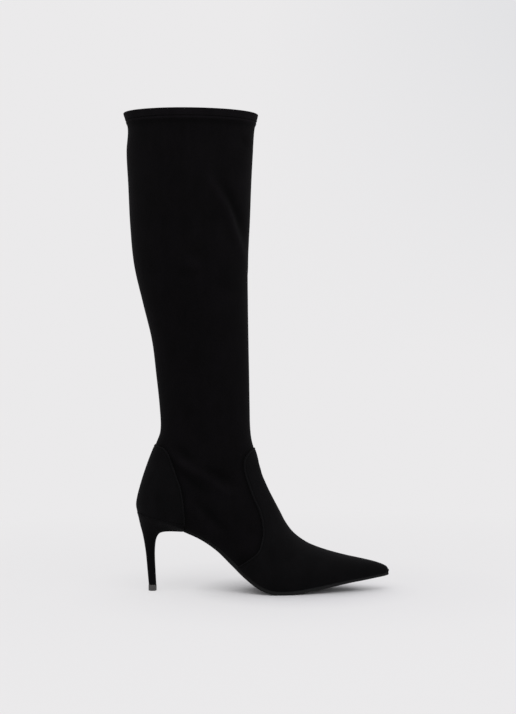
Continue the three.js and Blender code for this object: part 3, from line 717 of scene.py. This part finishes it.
def grid_faces(rows, columns, closed=False, start=0):
    """Quads over a grid of points kept row by row, closed round the columns or not."""
    across = columns if closed else columns - 1
    row, column = np.meshgrid(np.arange(rows - 1), np.arange(across), indexing="ij")
    following = (column + 1) % columns
    corners = (
        row * columns + column,
        (row + 1) * columns + column,
        (row + 1) * columns + following,
        row * columns + following,
    )
    return (np.stack(corners, axis=-1).reshape(-1, 4) + start).tolist()


def closed_rings(rings, point=0.0):
    """Points and faces over rings, with a fan over each end. point is how far the last one stands ahead."""
    rows, count = rings.shape[:2]
    flat = rings.reshape(-1, 3)
    first, last = rings[0].mean(axis=0), rings[-1].mean(axis=0) + (point, 0, 0)
    faces = grid_faces(rows, count, closed=True)
    for start, middle, order in ((0, len(flat), 1), (len(flat) - count, len(flat) + 1, -1)):
        ring = list(range(start, start + count))
        faces += [(middle, a, b)[::order] for a, b in zip(ring, ring[1:] + ring[:1])]
    return np.vstack([flat, first, last]), faces


def turns_round(mesh):
    """Turns all the way round, closer together at the back seam."""
    low = np.linspace(FLAT_TURN, WIDE_TURN, mesh["low"], endpoint=False)
    high = np.linspace(WIDE_TURN, 1, mesh["high"], endpoint=False)
    half = np.concatenate([BACK_TURNS, low, high])
    return np.concatenate([half, [1], 2 - half[:0:-1]])


def stations_over(start, end, step):
    """Evenly spaced stations, and the seat's corner among them."""
    even = np.linspace(start, end, max(2, int((end - start) / step)))
    close = SEAT_START + np.array(CORNER_STEPS)
    return np.unique(np.concatenate([even, close[(close > start) & (close < end)]]))


# The upper and its lining

def hem_profile(station):
    """The turned hem's lift: a flat band, a sewn groove at its lower edge and a soft roll under that."""
    below = station - HEM_DEPTH
    return HEM_THICKNESS * (1 - smooth_step(below, *HEM_EDGE)) + relief(below, HEM_WAVES)


def back_seam_profile(station, turn):
    """The seam down the middle of the back, from the hem to the counter."""
    across = np.minimum(turn, 2 - turn) / FLAT_TURN * BACK_HALF
    return relief(across, BACK_SEAM_WAVES) * (1 - smooth_step(station - SEAT_START, *BACK_SEAM_END))


def upper_lift(station, turn):
    return hem_profile(station) + back_seam_profile(station, turn) + folded(station, turn)


def lining_lift(station, turn):
    return folded(station, turn, inside=True) - LINING_DEPTH


def upper_painted_light(station, turn):
    """Light and shade painted on the upper: bright on ridges and round the hem, dark in troughs and beside
    the overlays.
    """
    points = side_view(station, turn)
    below = station - HEM_DEPTH
    painted_brightness = folded(station, turn) / FOLD_LIFT_PER_PAINTED_LIGHT
    painted_brightness += HEM_PAINTED_HIGHLIGHT * (1 - smooth_step(below, *HEM_PAINTED_HIGHLIGHT_FADE)) + relief(below, HEM_PAINTED_LIGHT_WAVES)
    for line, keep in ((COUNTER_LINE, -1), (VAMP_LINE, 1)):
        distance, side, _ = nearest_on_line(points, line)
        outside = np.maximum(-distance * side * keep, 0)
        painted_brightness += relief(outside, SEAM_SHADE) * (station > SEAT_START + SEAM_SHADE_START)
    return painted_brightness


# No light or shade is painted on the lining
def no_painted_light(station, turn):
    return np.zeros(len(station))


def shell(name, mesh, top, lift, depth, paint_light, material, *nodes):
    """Hollow form between a lifted outer side and an inner one at a depth, with a round rim on top."""
    turns = turns_round(mesh)[:-1]
    step = mesh["step"]
    radius = (lift(np.array([top]), np.array([WIDE_TURN]))[0] + depth) / 2
    rows, lifts = [], []
    for station in stations_over(top + radius, TOE_END - INSIDE_BACK, 2 * step)[::-1]:
        rows.append(station)
        lifts.append(folded(np.full(len(turns), station), turns, inside=True) - depth)
    for angle in np.linspace(math.pi, 0, COLLAR_STEPS)[1:-1]:
        rows.append(top + radius * (1 - math.sin(angle)))
        lifts.append(np.full(len(turns), radius - depth + radius * math.cos(angle)))
    hem = [top + row for row in HEM_ROWS]
    below = stations_over(hem[-1] + step / 2, NOSE_START, step)
    for station in [top + radius, *hem, *below, *NOSE_ROWS]:
        rows.append(station)
        lifts.append(lift(np.full(len(turns), station), turns))
    station, turn = np.meshgrid(np.array(rows), turns, indexing="ij")
    points, faces = closed_rings(with_nose(station, turn, np.array(lifts)), NOSE_POINT)
    # Light and shade painted at each point: bright on the folds' ridges and the hem, dark in troughs and
    # beside the overlays
    nap_and_painted_light = np.append(paint_light(station.ravel(), turn.ravel()), [0, 0])
    make_object(name, points, faces, material, "suede", *nodes, nap_and_painted_light=nap_and_painted_light)


# The overlays, cut exactly along their seams

def make_seam(line, keep, edge, room=0.0):
    """A seam's line in side view, the side of it that is kept, its edge and the room left beside it."""
    return {"line": line, "keep": keep, "room": room, **edge}


def inside_seam(params, seam):
    """How far inside a seam the points at stations and turns are."""
    distance, side, _ = nearest_on_line(side_view(params[:, 0], params[:, 1]), seam["line"])
    return distance * side * seam["keep"] - seam["room"]


def edge_profile(inside, seam):
    """Height of an overlay's edge: a rounded lip, and a groove where it is sewn down."""
    lip = np.clip(inside / seam["lip_width"], 0, 1)
    start = seam["lip_start"]
    return start + (OVERLAY_TOP - start) * np.sqrt(1 - (1 - lip) ** 2) + relief(inside, seam["waves"])


def split_triangles(params, triangles, values, level):
    """Cuts triangles along the line where their corners' values cross a level."""
    over = values >= level
    count = over[triangles].sum(axis=1)
    mixed = (count == 1) | (count == 2)
    kept = triangles[~mixed].tolist()
    params, values = params.tolist(), values.tolist()
    cuts = {}

    def cut(a, b):
        key = (min(a, b), max(a, b))
        if key not in cuts:
            share = (level - values[a]) / (values[b] - values[a])
            cuts[key] = len(params)
            params.append([params[a][i] + (params[b][i] - params[a][i]) * share for i in range(2)])
            values.append(level)
        return cuts[key]

    for corners in triangles[mixed].tolist():
        sides = [over[corner] for corner in corners]
        lone = sides.index(sum(sides) == 1)
        a, b, c = corners[lone:] + corners[:lone]
        ab, ac = cut(a, b), cut(a, c)
        kept += [[a, ab, ac], [ab, b, c], [ab, c, ac]]
    return np.array(params), np.array(kept)


def cut_out(stations, turns, seams):
    """Stations and turns of a layer's points, and its triangles, inside all of its seams."""
    station, turn = np.meshgrid(stations, turns, indexing="ij")
    params = np.stack([station.ravel(), turn.ravel()], axis=-1)
    quads = np.array(grid_faces(len(stations), len(turns)))
    triangles = np.vstack([quads[:, (0, 1, 2)], quads[:, (0, 2, 3)]])
    for seam in seams:
        for level in seam["levels"]:
            values = inside_seam(params, seam)
            values[np.abs(values - level) < TINY] = level
            params, triangles = split_triangles(params, triangles, values, level)
        centres = inside_seam(params, seam)[triangles].mean(axis=1)
        triangles = triangles[centres > 0]
    used, triangles = np.unique(triangles, return_inverse=True)
    return params[used], triangles.reshape(-1, 3)


def chained(points, pairs):
    """Joins pairs of point numbers into lines of points."""
    following = {}
    for a, b in pairs:
        following.setdefault(a, set()).add(b)
        following.setdefault(b, set()).add(a)
    lines = []
    while following:
        ends = [key for key, others in following.items() if len(others) == 1]
        current = ends[0] if ends else next(iter(following))
        order = [current]
        while following.get(current):
            after = following[current].pop()
            following[after].discard(current)
            if not following[current]:
                following.pop(current)
            order.append(after)
            current = after
        following.pop(current, None)
        if len(order) > SHORTEST_LINE:
            lines.append(points[order])
    return lines


def overlay(name, stations, turns, seams, material, node):
    """Layer over the upper inside its seams. Returns the lines along which it is stitched."""
    params, triangles = cut_out(stations, turns, seams)
    station, turn = params[:, 0], params[:, 1]
    fold = folded(station, turn)
    height = np.full(len(params), OVERLAY_TOP)
    # Painted light and shade: bright on the folds' ridges, dark in their troughs, a highlight painted on each
    # edge's lip and shade in its sewn groove
    nap_and_painted_light = fold / FOLD_LIFT_PER_PAINTED_LIGHT
    for seam in seams:
        inside = np.maximum(inside_seam(params, seam), 0)
        height = height * edge_profile(inside, seam) / OVERLAY_TOP
        nap_and_painted_light = nap_and_painted_light + relief(inside, seam["painted_light"])
    top = above_sole(with_nose(station, turn, fold + height), station)
    under = above_sole(with_nose(station, turn, fold + OVERLAY_UNDERSIDE), station)
    edges = dict.fromkeys(pair for a, b, c in triangles.tolist() for pair in ((a, b), (b, c), (c, a)))
    count = len(params)
    faces = triangles.tolist() + (triangles[:, ::-1] + count).tolist()
    faces += [[b, a, a + count, b + count] for a, b in edges if (b, a) not in edges]
    make_object(name, np.vstack([top, under]), faces, material, "suede", node, nap_and_painted_light=np.append(nap_and_painted_light, nap_and_painted_light))
    lines = []
    for seam in seams:
        if seam["stitched"]:
            on_line = np.abs(inside_seam(params, seam) - STITCH_LEVEL) < STITCH_NEAR
            lines += chained(top, [pair for pair in edges if on_line[pair[0]] and on_line[pair[1]]])
    return lines


def make_vamp(material):
    low = np.linspace(OVERLAY_START_TURN, WIDE_TURN, VAMP_MESH["low"], endpoint=False)
    high = np.linspace(WIDE_TURN, 1, VAMP_MESH["high"], endpoint=False)
    turns = np.concatenate([low, high, [1], 2 - high[::-1], 2 - low[::-1]])
    on_foot = stations_over(SEAT_START + VAMP_MESH["start"], NOSE_START, VAMP_MESH["step"])
    stations = np.concatenate([on_foot, NOSE_ROWS, [TOE_END + NOSE]])
    return overlay("vamp_suede", stations, turns, [make_seam(VAMP_LINE, 1, SEWN_EDGE)], material, "vamp")


def make_counter(material):
    mesh = COUNTER_MESH
    stations = stations_over(SEAT_START + mesh["start"], SEAT_START + mesh["end"], mesh["step"])
    seams = [make_seam(COUNTER_LINE, -1, SEWN_EDGE), make_seam(RIM_LINE, 1, TUCKED_EDGE, -RIM_LAP)]
    return overlay("heel_counter_suede", stations, turns_round(mesh), seams, material, "heel_counter")


def stitches(name, lines, material):
    """A row of short stitches along each line."""
    angles = np.arange(THREAD_SIDES)[:, None] * 2 * math.pi / THREAD_SIDES
    reach = THREAD_RADIUS * np.array(THREAD_BULGE)[:, None, None]
    rows = len(THREAD_BULGE)
    rings, faces = [], []
    for line in lines:
        for number in range(int(travelled_along(line)[-1] / STITCH_PITCH)):
            start = (number + (1 - STITCH_SHARE) / 2) * STITCH_PITCH
            path = points_along(line, start + np.linspace(0, STITCH_SHARE, rows) * STITCH_PITCH)
            way = unit(path[-1] - path[0])
            side = unit(np.cross(way, THREAD_LEAN))
            ring = np.cos(angles) * side + np.sin(angles) * np.cross(way, side)
            first = THREAD_SIDES * rows * len(rings)
            rings.append(path[:, None] + reach * ring)
            faces += grid_faces(rows, THREAD_SIDES, closed=True, start=first)
            end = list(range(first, first + THREAD_SIDES))
            faces.append(end)
            faces.append([corner + THREAD_SIDES * (rows - 1) for corner in end[::-1]])
    make_object(name, rings, faces, material, "suede")


def hem_line():
    """Closed line round the leg where the hem is sewn."""
    turns = np.linspace(0, 2, HEM_LINE_TURNS)
    station = np.full(len(turns), HEM_DEPTH - HEM_STITCH_RISE)
    return with_nose(station, turns, np.full(len(turns), HEM_THICKNESS + HEM_STITCH_LIFT))


# Sole and insole

def band(stations, spare, top, depth, rounding):
    """Rings of a layer along the foot. spare is how far it stands out from the foot's flat at each ring, and
    top and depth how far below the foot's underside it starts and ends."""
    section, up = bottom_frame(stations)
    depth = depth[:, None]
    half = (section["bottom_half"] + spare)[:, None]
    edge = np.minimum(rounding, (depth - top) * ROUND_MOST)
    angles = np.linspace(0, math.pi / 2, ROUND_STEPS)
    near, far = edge * (1 - np.sin(angles)), edge * (1 - np.cos(angles))
    across = np.hstack([half - near, half - far])
    down = np.hstack([top + far * TOP_EASE, depth - near])
    flat = np.array([0, 0.5])
    across = np.hstack([flat * across[:, :1], across, flat[::-1] * across[:, -1:]])
    down = np.hstack([down[:, :1], down[:, :1], down, down[:, -1:], down[:, -1:]])
    y = np.hstack([-across, across[:, -2:0:-1]]) + section["bottom_y"][:, None]
    low = np.hstack([down, down[:, -2:0:-1]])
    x = section["bottom_x"][:, None] - low * up[:, :1]
    z = section["bottom_z"][:, None] - low * up[:, 1:]
    return np.stack([x, y, z], axis=-1)


def sole_depth(x):
    """How far the sole's bottom is below the foot, thin at the breast and at the toe."""
    reach = np.clip((x - BALL_FRONT) / (FOOT_LENGTH - BALL_FRONT), 0, 1)
    thickness = SOLE_THICKNESS + (SOLE_TIP_THICKNESS - SOLE_THICKNESS) * reach
    return GAP + thickness - WAIST_THINNER * (1 - smooth_step(x, BREAST, BREAST + WAIST_LENGTH))


def sole_spare(x):
    """How far the sole's edge stands out: hidden in the heel, fine along the waist and full at the ball."""
    fine = WAIST_EDGE + (SOLE_EDGE - WAIST_EDGE) * smooth_step(x, BREAST + WAIST_LENGTH, BALL_FRONT)
    return (fine + SOLE_HIDDEN) * smooth_step(x - BREAST, *SOLE_SHOWS) - SOLE_HIDDEN


def make_outsole(material):
    stations = np.linspace(station_at(BREAST - SOLE_LAP), TOE_END, SOLE_RINGS)
    x = sections_at(stations)["bottom_x"]
    rings = list(band(stations, sole_spare(x), SOLE_TOP, sole_depth(x), SOLE_ROUNDING))
    last = rings[-1]
    middle = last.mean(axis=0)
    for ahead, share in SOLE_POINT:
        ring = middle + (last - middle) * (share, share, (1 + share) / 2)
        ring[:, 0] = middle[0] + ahead
        rings.append(ring)
    rings = np.array(rings)
    rings[..., 2] = np.maximum(rings[..., 2], 0)
    make_object("outsole_leather", *closed_rings(rings), material, "sole", "outsole")


def make_insole(material):
    ends = COLUMNS["bottom_x"][CORNER] + INSOLE_START, FOOT_LENGTH - INSOLE_BACK
    stations = np.linspace(*map(station_at, ends), INSOLE_RINGS)
    bottom = WALL + GAP
    depth = np.full(INSOLE_RINGS, -bottom)
    rings = band(stations, -INSOLE_INSET, -bottom - INSOLE_THICKNESS, depth, INSOLE_ROUNDING)
    make_object("insole_sock", *closed_rings(rings), material, "insole_board", "insole")


# Heel

def stem_outline(angle, centre, ahead, behind, half, square):
    """Points of an outline at angles, where angle 0 looks ahead: round behind its centre, squarer ahead."""
    cosine, sine = np.cos(angle), np.sin(angle)
    power = np.where(cosine > 0, 2 / square, 1.0)
    x = centre + np.sign(cosine) * np.where(cosine > 0, ahead, behind) * np.abs(cosine) ** power
    return x, np.sign(sine) * half * np.abs(sine) ** power


HEEL_COLUMNS = columns_of(HEEL_LEVELS)


def heel_points(level, angle):
    """Points of the heel's body at levels and angles."""
    value = {key: steady_curve(HEEL_COLUMNS["level"], HEEL_COLUMNS[key], level) for key in HEEL_COLUMNS}
    back, front = value["back"] * BREAST, value["front"] * BREAST
    half = value["half"] * SEAT_WIDTH
    centre = back + np.minimum(half, (front - back) / 2)
    x, y = stem_outline(angle, centre, front - centre, centre - back, half, value["square"])
    z = level * HEEL_HEIGHT - CUP_FALL * np.maximum(0, x - STEM_CENTRE - STEM_LENGTH)
    return np.stack([x, y, z], axis=-1)


def heel_form(offset):
    """Search tree of the form moved out by an offset, round the heel and waist."""
    mesh = HEEL_FORM_MESH
    stations = stations_over(SEAT_START + mesh["start"], SEAT_START + mesh["end"], mesh["step"])
    turns = turns_round(mesh)
    station, turn = np.meshgrid(stations, turns, indexing="ij")
    points = surface(station, turn) + outward(station, turn) * offset
    return BVHTree.FromPolygons(points.reshape(-1, 3).tolist(), grid_faces(len(stations), len(turns)))


def seat_outline(x, bottom):
    """Half width and middle of the foot's own outline along the heel: round behind the seat's centre."""
    half = np.interp(x, bottom["bottom_x"], bottom["bottom_half"]) + SOLE_EDGE
    reach = SEAT_RADIUS + SOLE_EDGE
    behind = np.clip((SEAT_RADIUS - x) / reach, 0, 1)
    half = np.where(x < SEAT_RADIUS, reach * np.sqrt(1 - behind**2), half)
    return half, np.interp(x, bottom["bottom_x"], bottom["bottom_y"])


def wrapped_column(points, form, near, bottom):
    """Widens the cup to the foot's own outline where the two meet, and wraps it round the foot above that."""
    half, middle = seat_outline(points[:, 0], bottom)
    wrapped = points.copy()
    for i, (x, y, z) in enumerate(points):
        side = 1 if y > 0 else -1
        wide = middle[i] + side * half[i]
        y = y + (wide - y) * near[i] * smooth_step(abs(y), *CUP_WIDENS)
        wrapped[i, 1] = y
        if x > SEAT_RADIUS:
            hit = form.ray_cast(Vector((x, side * COLLAR_WIDTH, z)), Vector((0, -side, 0)), COLLAR_WIDTH)[0]
            if hit is not None and hit.y * side > y * side:
                wrapped[i, 1] = hit.y
        else:
            centre = Vector((SEAT_RADIUS, 0, z))
            way = Vector((x, y, z)) - centre
            outer = centre + way.normalized() * COLLAR_WIDTH
            hit = form.ray_cast(outer, centre - outer, COLLAR_WIDTH)[0]
            if hit is not None and (hit - centre).length > way.length:
                wrapped[i] = hit
    return wrapped


def heel_column(angle, levels, form, bottom):
    """One line up the heel, from the stem to the foot's underside ahead and to the rim round the sides."""
    points = heel_points(levels, np.full(len(levels), angle))
    underside = np.interp(points[:, 0], bottom["bottom_x"], bottom["bottom_z"]) - OVERLAY_UNDERSIDE
    if abs(angle) < math.pi / 4:
        top = underside
    else:
        near = smooth_step(points[:, 2], underside - CUP_BLEND, underside + 1)
        points = wrapped_column(points, form, near, bottom)
        top = np.interp(points[:, 0], RIM_LINE[:, 0], RIM_LINE[:, 1])
    over = np.nonzero(points[:, 2] >= top)[0]
    end = over[0] if len(over) else len(levels) - 1
    last, before = points[end], points[end - 1]
    share = (top[end - 1] - before[2]) / (last[2] - before[2] - top[end] + top[end - 1])
    crossing = before + (last - before) * np.clip(share, 0, 1)
    column = np.vstack([points[:end], crossing])
    return points_along(column, np.linspace(0, travelled_along(column)[-1], HEEL_ROWS))


def make_heel(material):
    form = heel_form(CUP_SKIN)
    under_heel = np.linspace(SEAT_START, station_at(BREAST + SEAT_RADIUS), HEEL_UNDERSIDE_SAMPLES)
    bottom = sections_at(under_heel)
    angles = np.linspace(-math.pi, math.pi, HEEL_ANGLES, endpoint=False)
    levels = np.linspace(HEEL_COLUMNS["level"][0], HEEL_COLUMNS["level"][-1], HEEL_SAMPLES)
    rings = np.array([heel_column(angle, levels, form, bottom) for angle in angles]).transpose(1, 0, 2)
    for _ in range(HEEL_SMOOTHING):
        rings[2:-1] = (rings[1:-2] + 2 * rings[2:-1] + rings[3:]) / 4
    lip = rings[-1].copy()
    lip[:, :2] += unit(np.array([SEAT_RADIUS, 0]) - lip[:, :2]) * (CUP_SKIN - OVERLAY_UNDERSIDE)
    inner = lip.copy()
    underside = np.interp(lip[:, 0], bottom["bottom_x"], bottom["bottom_z"]) - OVERLAY_UNDERSIDE
    inner[:, 2] = np.minimum(lip[:, 2], underside)
    middle = rings[0].mean(axis=0)
    stem_end = middle + (rings[0] - middle) * (STEM_END_SHARE, STEM_END_SHARE, 1)
    rings[0][:, 2] += STEM_END_RISE
    rings = np.concatenate([stem_end[None], rings, lip[None], inner[None]])
    make_object("heel_cover", *closed_rings(rings[:, ::-1]), material, "suede", "heel")


def make_heel_tip(material):
    angles = np.linspace(-math.pi, math.pi, TIP_SIDES, endpoint=False)
    rings = []
    for z, edge in TIP_ROWS:
        reach = STEM_LENGTH / 2 + TIP_EDGE + edge
        half = STEM_WIDTH / 2 + TIP_EDGE + edge
        x, y = stem_outline(angles, STEM_CENTRE, reach, reach, half, STEM_SQUARE)
        rings.append(np.stack([x, y, np.full(TIP_SIDES, z)], axis=-1))
    make_object("heel_top_piece", *closed_rings(np.array(rings)[:, ::-1]), material, "top_piece", "heel_tip")


# Materials

class Nodes:
    """Small helper for the nodes of a material or world."""

    def __init__(self, owner, shader="Principled BSDF", place="Object"):
        owner.use_nodes = True
        self.owner = owner
        self.tree = owner.node_tree
        self.shader = self.tree.nodes[shader]
        self.place = self.add("ShaderNodeTexCoord").outputs[place]

    def add(self, kind, **settings):
        node = self.tree.nodes.new(kind)
        for key, value in settings.items():
            setattr(node, key, value)
        return node

    def give(self, value, socket):
        """Links a socket to another's output, or sets its own value."""
        if isinstance(value, bpy.types.NodeSocket):
            self.tree.links.new(value, socket)
        else:
            socket.default_value = value

    def noise(self, scale, detail=3.0, roughness=0.5, stretch=None):
        node = self.add("ShaderNodeTexNoise")
        place = self.place
        if stretch:
            mapping = self.add("ShaderNodeMapping")
            self.give(stretch, mapping.inputs["Scale"])
            self.give(place, mapping.inputs["Vector"])
            place = mapping.outputs["Vector"]
        for key, value in (("Scale", scale), ("Detail", detail), ("Roughness", roughness), ("Vector", place)):
            self.give(value, node.inputs[key])
        return node.outputs["Fac"]

    def ramp(self, value, *stops):
        """Colour, or grey where a stop has one number, that follows a value between stops."""
        node = self.add("ShaderNodeValToRGB")
        for i, (place, colour) in enumerate(stops):
            element = node.color_ramp.elements[i] if i < 2 else node.color_ramp.elements.new(place)
            element.position = place
            element.color = (*np.broadcast_to(colour, 3), 1)
        self.give(value, node.inputs["Fac"])
        return node.outputs["Color"]

    def mapped(self, value, ranges):
        node = self.add("ShaderNodeMapRange")
        for key, limit in ranges.items():
            self.give(limit, node.inputs[key])
        self.give(value, node.inputs["Value"])
        return node.outputs["Result"]

    def mixed(self, share, first, second, kind="MIX"):
        node = self.add("ShaderNodeMix", data_type="RGBA", blend_type=kind)
        for value, socket in ((share, node.inputs[0]), (first, node.inputs[6]), (second, node.inputs[7])):
            self.give(value, socket)
        return node.outputs[2]

    def bump(self, height, strength, distance, after=None):
        node = self.add("ShaderNodeBump")
        self.give(strength, node.inputs["Strength"])
        self.give(distance * MM, node.inputs["Distance"])
        self.give(height, node.inputs["Height"])
        if after:
            self.give(after, node.inputs["Normal"])
        return node.outputs["Normal"]

    def finish(self, colour, normal, **settings):
        """Gives the shader its colour, relief and other settings, and returns the material."""
        for key, value in {"Base_Color": colour, "Normal": normal, **settings}.items():
            self.give(value, self.shader.inputs[key.replace("_", " ")])
        return self.owner


def new_material(name):
    return Nodes(bpy.data.materials.new(name))


def suede_material(name, dark, light, sheen):
    """Short-napped suede: brushed patches, a fine nap, light and shade painted from the mesh and a faint
    bloom where it turns away.
    """
    nodes = new_material(name)
    patches = nodes.noise(scale=38, detail=4, roughness=0.6)
    strokes = nodes.noise(scale=90, detail=3, roughness=0.55, stretch=(1, 1, 0.35))
    nap_and_painted_light = nodes.noise(scale=1500, detail=3, roughness=0.7)
    tone = nodes.ramp(nodes.mixed(0.45, patches, strokes), (0.34, dark), (0.68, light))
    fine = nodes.ramp(nap_and_painted_light, (0.3, 0.62), (0.75, 1.35))
    brushed = nodes.mixed(1.0, tone, fine, "MULTIPLY")
    # Painted light and shade from the mesh, multiplied into the colour
    painted_light = nodes.add("ShaderNodeAttribute", attribute_name="nap_and_painted_light").outputs["Fac"]
    colour = nodes.mixed(1.0, brushed, nodes.mapped(painted_light, PAINTED_LIGHT_RANGE), "MULTIPLY")
    fibres = nodes.bump(nap_and_painted_light, strength=0.35, distance=0.25)
    return nodes.finish(
        colour,
        nodes.bump(strokes, strength=0.2, distance=0.5, after=fibres),
        Roughness=0.95,
        Specular_IOR_Level=0.06,
        Sheen_Weight=sheen,
        Sheen_Roughness=0.45,
        Sheen_Tint=SHEEN_TINT,
    )


def sole_material():
    """Dark leather with a satin grain, with painted shade that darkens it towards the waist."""
    nodes = new_material("sole_satin")
    wear = nodes.noise(scale=60, detail=5, roughness=0.6)
    grain = nodes.noise(scale=700, detail=3, roughness=0.6)
    leather = nodes.ramp(wear, (0.35, (0.008, 0.008, 0.0084)), (0.7, (0.014, 0.014, 0.0146)))
    along = nodes.add("ShaderNodeSeparateXYZ")
    nodes.give(nodes.place, along.inputs["Vector"])
    # Painted shade: the colour darkens towards the waist
    shade = nodes.mapped(along.outputs["X"], SOLE_SHADE_RANGE)
    return nodes.finish(
        nodes.mixed(1.0, leather, shade, "MULTIPLY"),
        nodes.bump(grain, strength=0.12, distance=0.1),
        Roughness=nodes.ramp(wear, (0.3, 0.5), (0.75, 0.65)),
        Specular_IOR_Level=0.1,
    )


def tip_material():
    nodes = new_material("top_piece_satin")
    wear = nodes.noise(scale=260, detail=4, roughness=0.6)
    return nodes.finish(
        nodes.ramp(wear, (0.35, (0.03, 0.029, 0.028)), (0.7, (0.045, 0.043, 0.041))),
        nodes.bump(wear, strength=0.1, distance=0.1),
        Roughness=nodes.ramp(wear, (0.3, 0.4), (0.75, 0.55)),
    )


def lining_material():
    nodes = new_material("lining_cloth")
    weave = nodes.add("ShaderNodeTexWave", wave_type="BANDS", bands_direction="DIAGONAL")
    for key, value in (("Scale", 900), ("Distortion", 1.5), ("Vector", nodes.place)):
        nodes.give(value, weave.inputs[key])
    tone = nodes.noise(scale=50, detail=4)
    return nodes.finish(
        nodes.ramp(tone, (0.35, (0.016, 0.015, 0.016)), (0.7, (0.026, 0.025, 0.027))),
        nodes.bump(weave.outputs["Fac"], strength=0.25, distance=0.1),
        Roughness=0.85,
        Specular_IOR_Level=0.2,
    )


def sock_material():
    nodes = new_material("insole_sock_leather")
    grain = nodes.noise(scale=420, detail=5, roughness=0.65)
    tone = nodes.noise(scale=35, detail=3)
    return nodes.finish(
        nodes.ramp(tone, (0.35, (0.02, 0.018, 0.017)), (0.7, (0.032, 0.029, 0.027))),
        nodes.bump(grain, strength=0.25, distance=0.15),
        Roughness=0.6,
        Specular_IOR_Level=0.35,
    )


def thread_material():
    nodes = new_material("sewing_thread")
    fibre = nodes.noise(scale=2500, detail=2)
    return nodes.finish(
        nodes.ramp(fibre, (0.3, (0.002, 0.002, 0.0022)), (0.7, (0.0042, 0.004, 0.0044))),
        nodes.bump(fibre, strength=0.2, distance=0.05),
        Roughness=0.8,
        Specular_IOR_Level=0.06,
    )


# Studio and camera

def floor_material():
    """Pale floor that turns into the backdrop's own tone further out, so no horizon shows."""
    nodes = new_material("studio_floor")
    for key, value in (("Base Color", FLOOR_COLOUR), ("Roughness", 0.9), ("Specular IOR Level", 0.1)):
        nodes.give(value, nodes.shader.inputs[key])
    away = nodes.add("ShaderNodeVectorMath", operation="DISTANCE")
    nodes.give(nodes.place, away.inputs[0])
    nodes.give(FLOOR_CENTRE, away.inputs[1])
    glow = nodes.add("ShaderNodeEmission")
    nodes.give(PAPER, glow.inputs["Color"])
    blend = nodes.add("ShaderNodeMixShader")
    nodes.give(nodes.ramp(away.outputs["Value"], *FLOOR_GLOW), blend.inputs["Fac"])
    nodes.give(nodes.shader.outputs["BSDF"], blend.inputs[1])
    nodes.give(glow.outputs["Emission"], blend.inputs[2])
    nodes.give(blend.outputs["Shader"], nodes.tree.nodes["Material Output"].inputs["Surface"])
    return nodes.owner


def make_floor():
    points, faces = [(0, 0, 0)], []
    for radius in FLOOR_RINGS:
        for side in range(FLOOR_SIDES):
            angle = 2 * math.pi * side / FLOOR_SIDES
            points.append((radius * math.cos(angle), radius * math.sin(angle), 0))
    for side in range(FLOOR_SIDES):
        faces.append((0, 1 + side, 1 + (side + 1) % FLOOR_SIDES))
    faces += [face[::-1] for face in grid_faces(len(FLOOR_RINGS), FLOOR_SIDES, closed=True, start=1)]
    mesh = bpy.data.meshes.new("floor")
    mesh.from_pydata(points, [], faces)
    mesh.materials.append(floor_material())
    floor = add_object("floor", mesh)


def make_world():
    """Even backdrop that darkens a little towards its upper right corner."""
    world = bpy.data.worlds.new("studio")
    nodes = Nodes(world, shader="Background", place="Generated")
    direction = nodes.add("ShaderNodeSeparateXYZ")
    nodes.give(nodes.place, direction.inputs["Vector"])
    corner = nodes.add("ShaderNodeMath", operation="MULTIPLY")
    for number, (axis, reach) in enumerate(CORNER_REACH):
        nodes.give(nodes.mapped(direction.outputs[axis], {"From Max": reach}), corner.inputs[number])
    tone = nodes.ramp(corner.outputs[0], (0, PAPER[:3]), (1, CORNER_PAPER[:3]))
    nodes.give(tone, nodes.shader.inputs["Color"])
    bpy.context.scene.world = world
    bpy.context.scene.view_settings.view_transform = "Standard"


def aim(lamp_or_camera, place, direction):
    lamp_or_camera.location = place
    lamp_or_camera.rotation_mode = "QUATERNION"
    lamp_or_camera.rotation_quaternion = Vector(direction).to_track_quat("-Z", "Y")


def make_lights():
    for row in LIGHTS:
        data = bpy.data.lights.new(row["name"], "AREA")
        data.shape = "RECTANGLE"
        data.size, data.size_y = row["size"]
        data.energy = row["power"]
        aim(add_object(row["name"], data), row["place"], Vector(row["aim"]) - Vector(row["place"]))


def make_camera():
    data = bpy.data.cameras.new("camera")
    data.lens = LENS
    data.clip_start, data.clip_end = CAMERA_REACH
    camera = add_object("camera", data)
    aim(camera, CAMERA_PLACE, (0, 1, 0))
    bpy.context.scene.camera = camera


make_camera()
make_world()
make_floor()
make_lights()

stretch_suede = suede_material("stretch_suede_with_painted_light", *STRETCH_SUEDE)
suede = suede_material("suede_with_painted_light", *SUEDE)
thread = thread_material()
shell("upper_suede", UPPER_MESH, 0.0, upper_lift, SUEDE_DEPTH, upper_painted_light, stretch_suede, "upper")
shell("upper_lining", LINING_MESH, LINING_TOP, lining_lift, WALL, no_painted_light, lining_material())
vamp_seams = make_vamp(suede)
counter_seams = make_counter(suede)
make_heel(suede)
make_outsole(sole_material())
make_insole(sock_material())
make_heel_tip(tip_material())
stitches("vamp_stitching", vamp_seams, thread)
stitches("counter_stitching", counter_seams, thread)
stitches("hem_stitching", [hem_line()], thread)
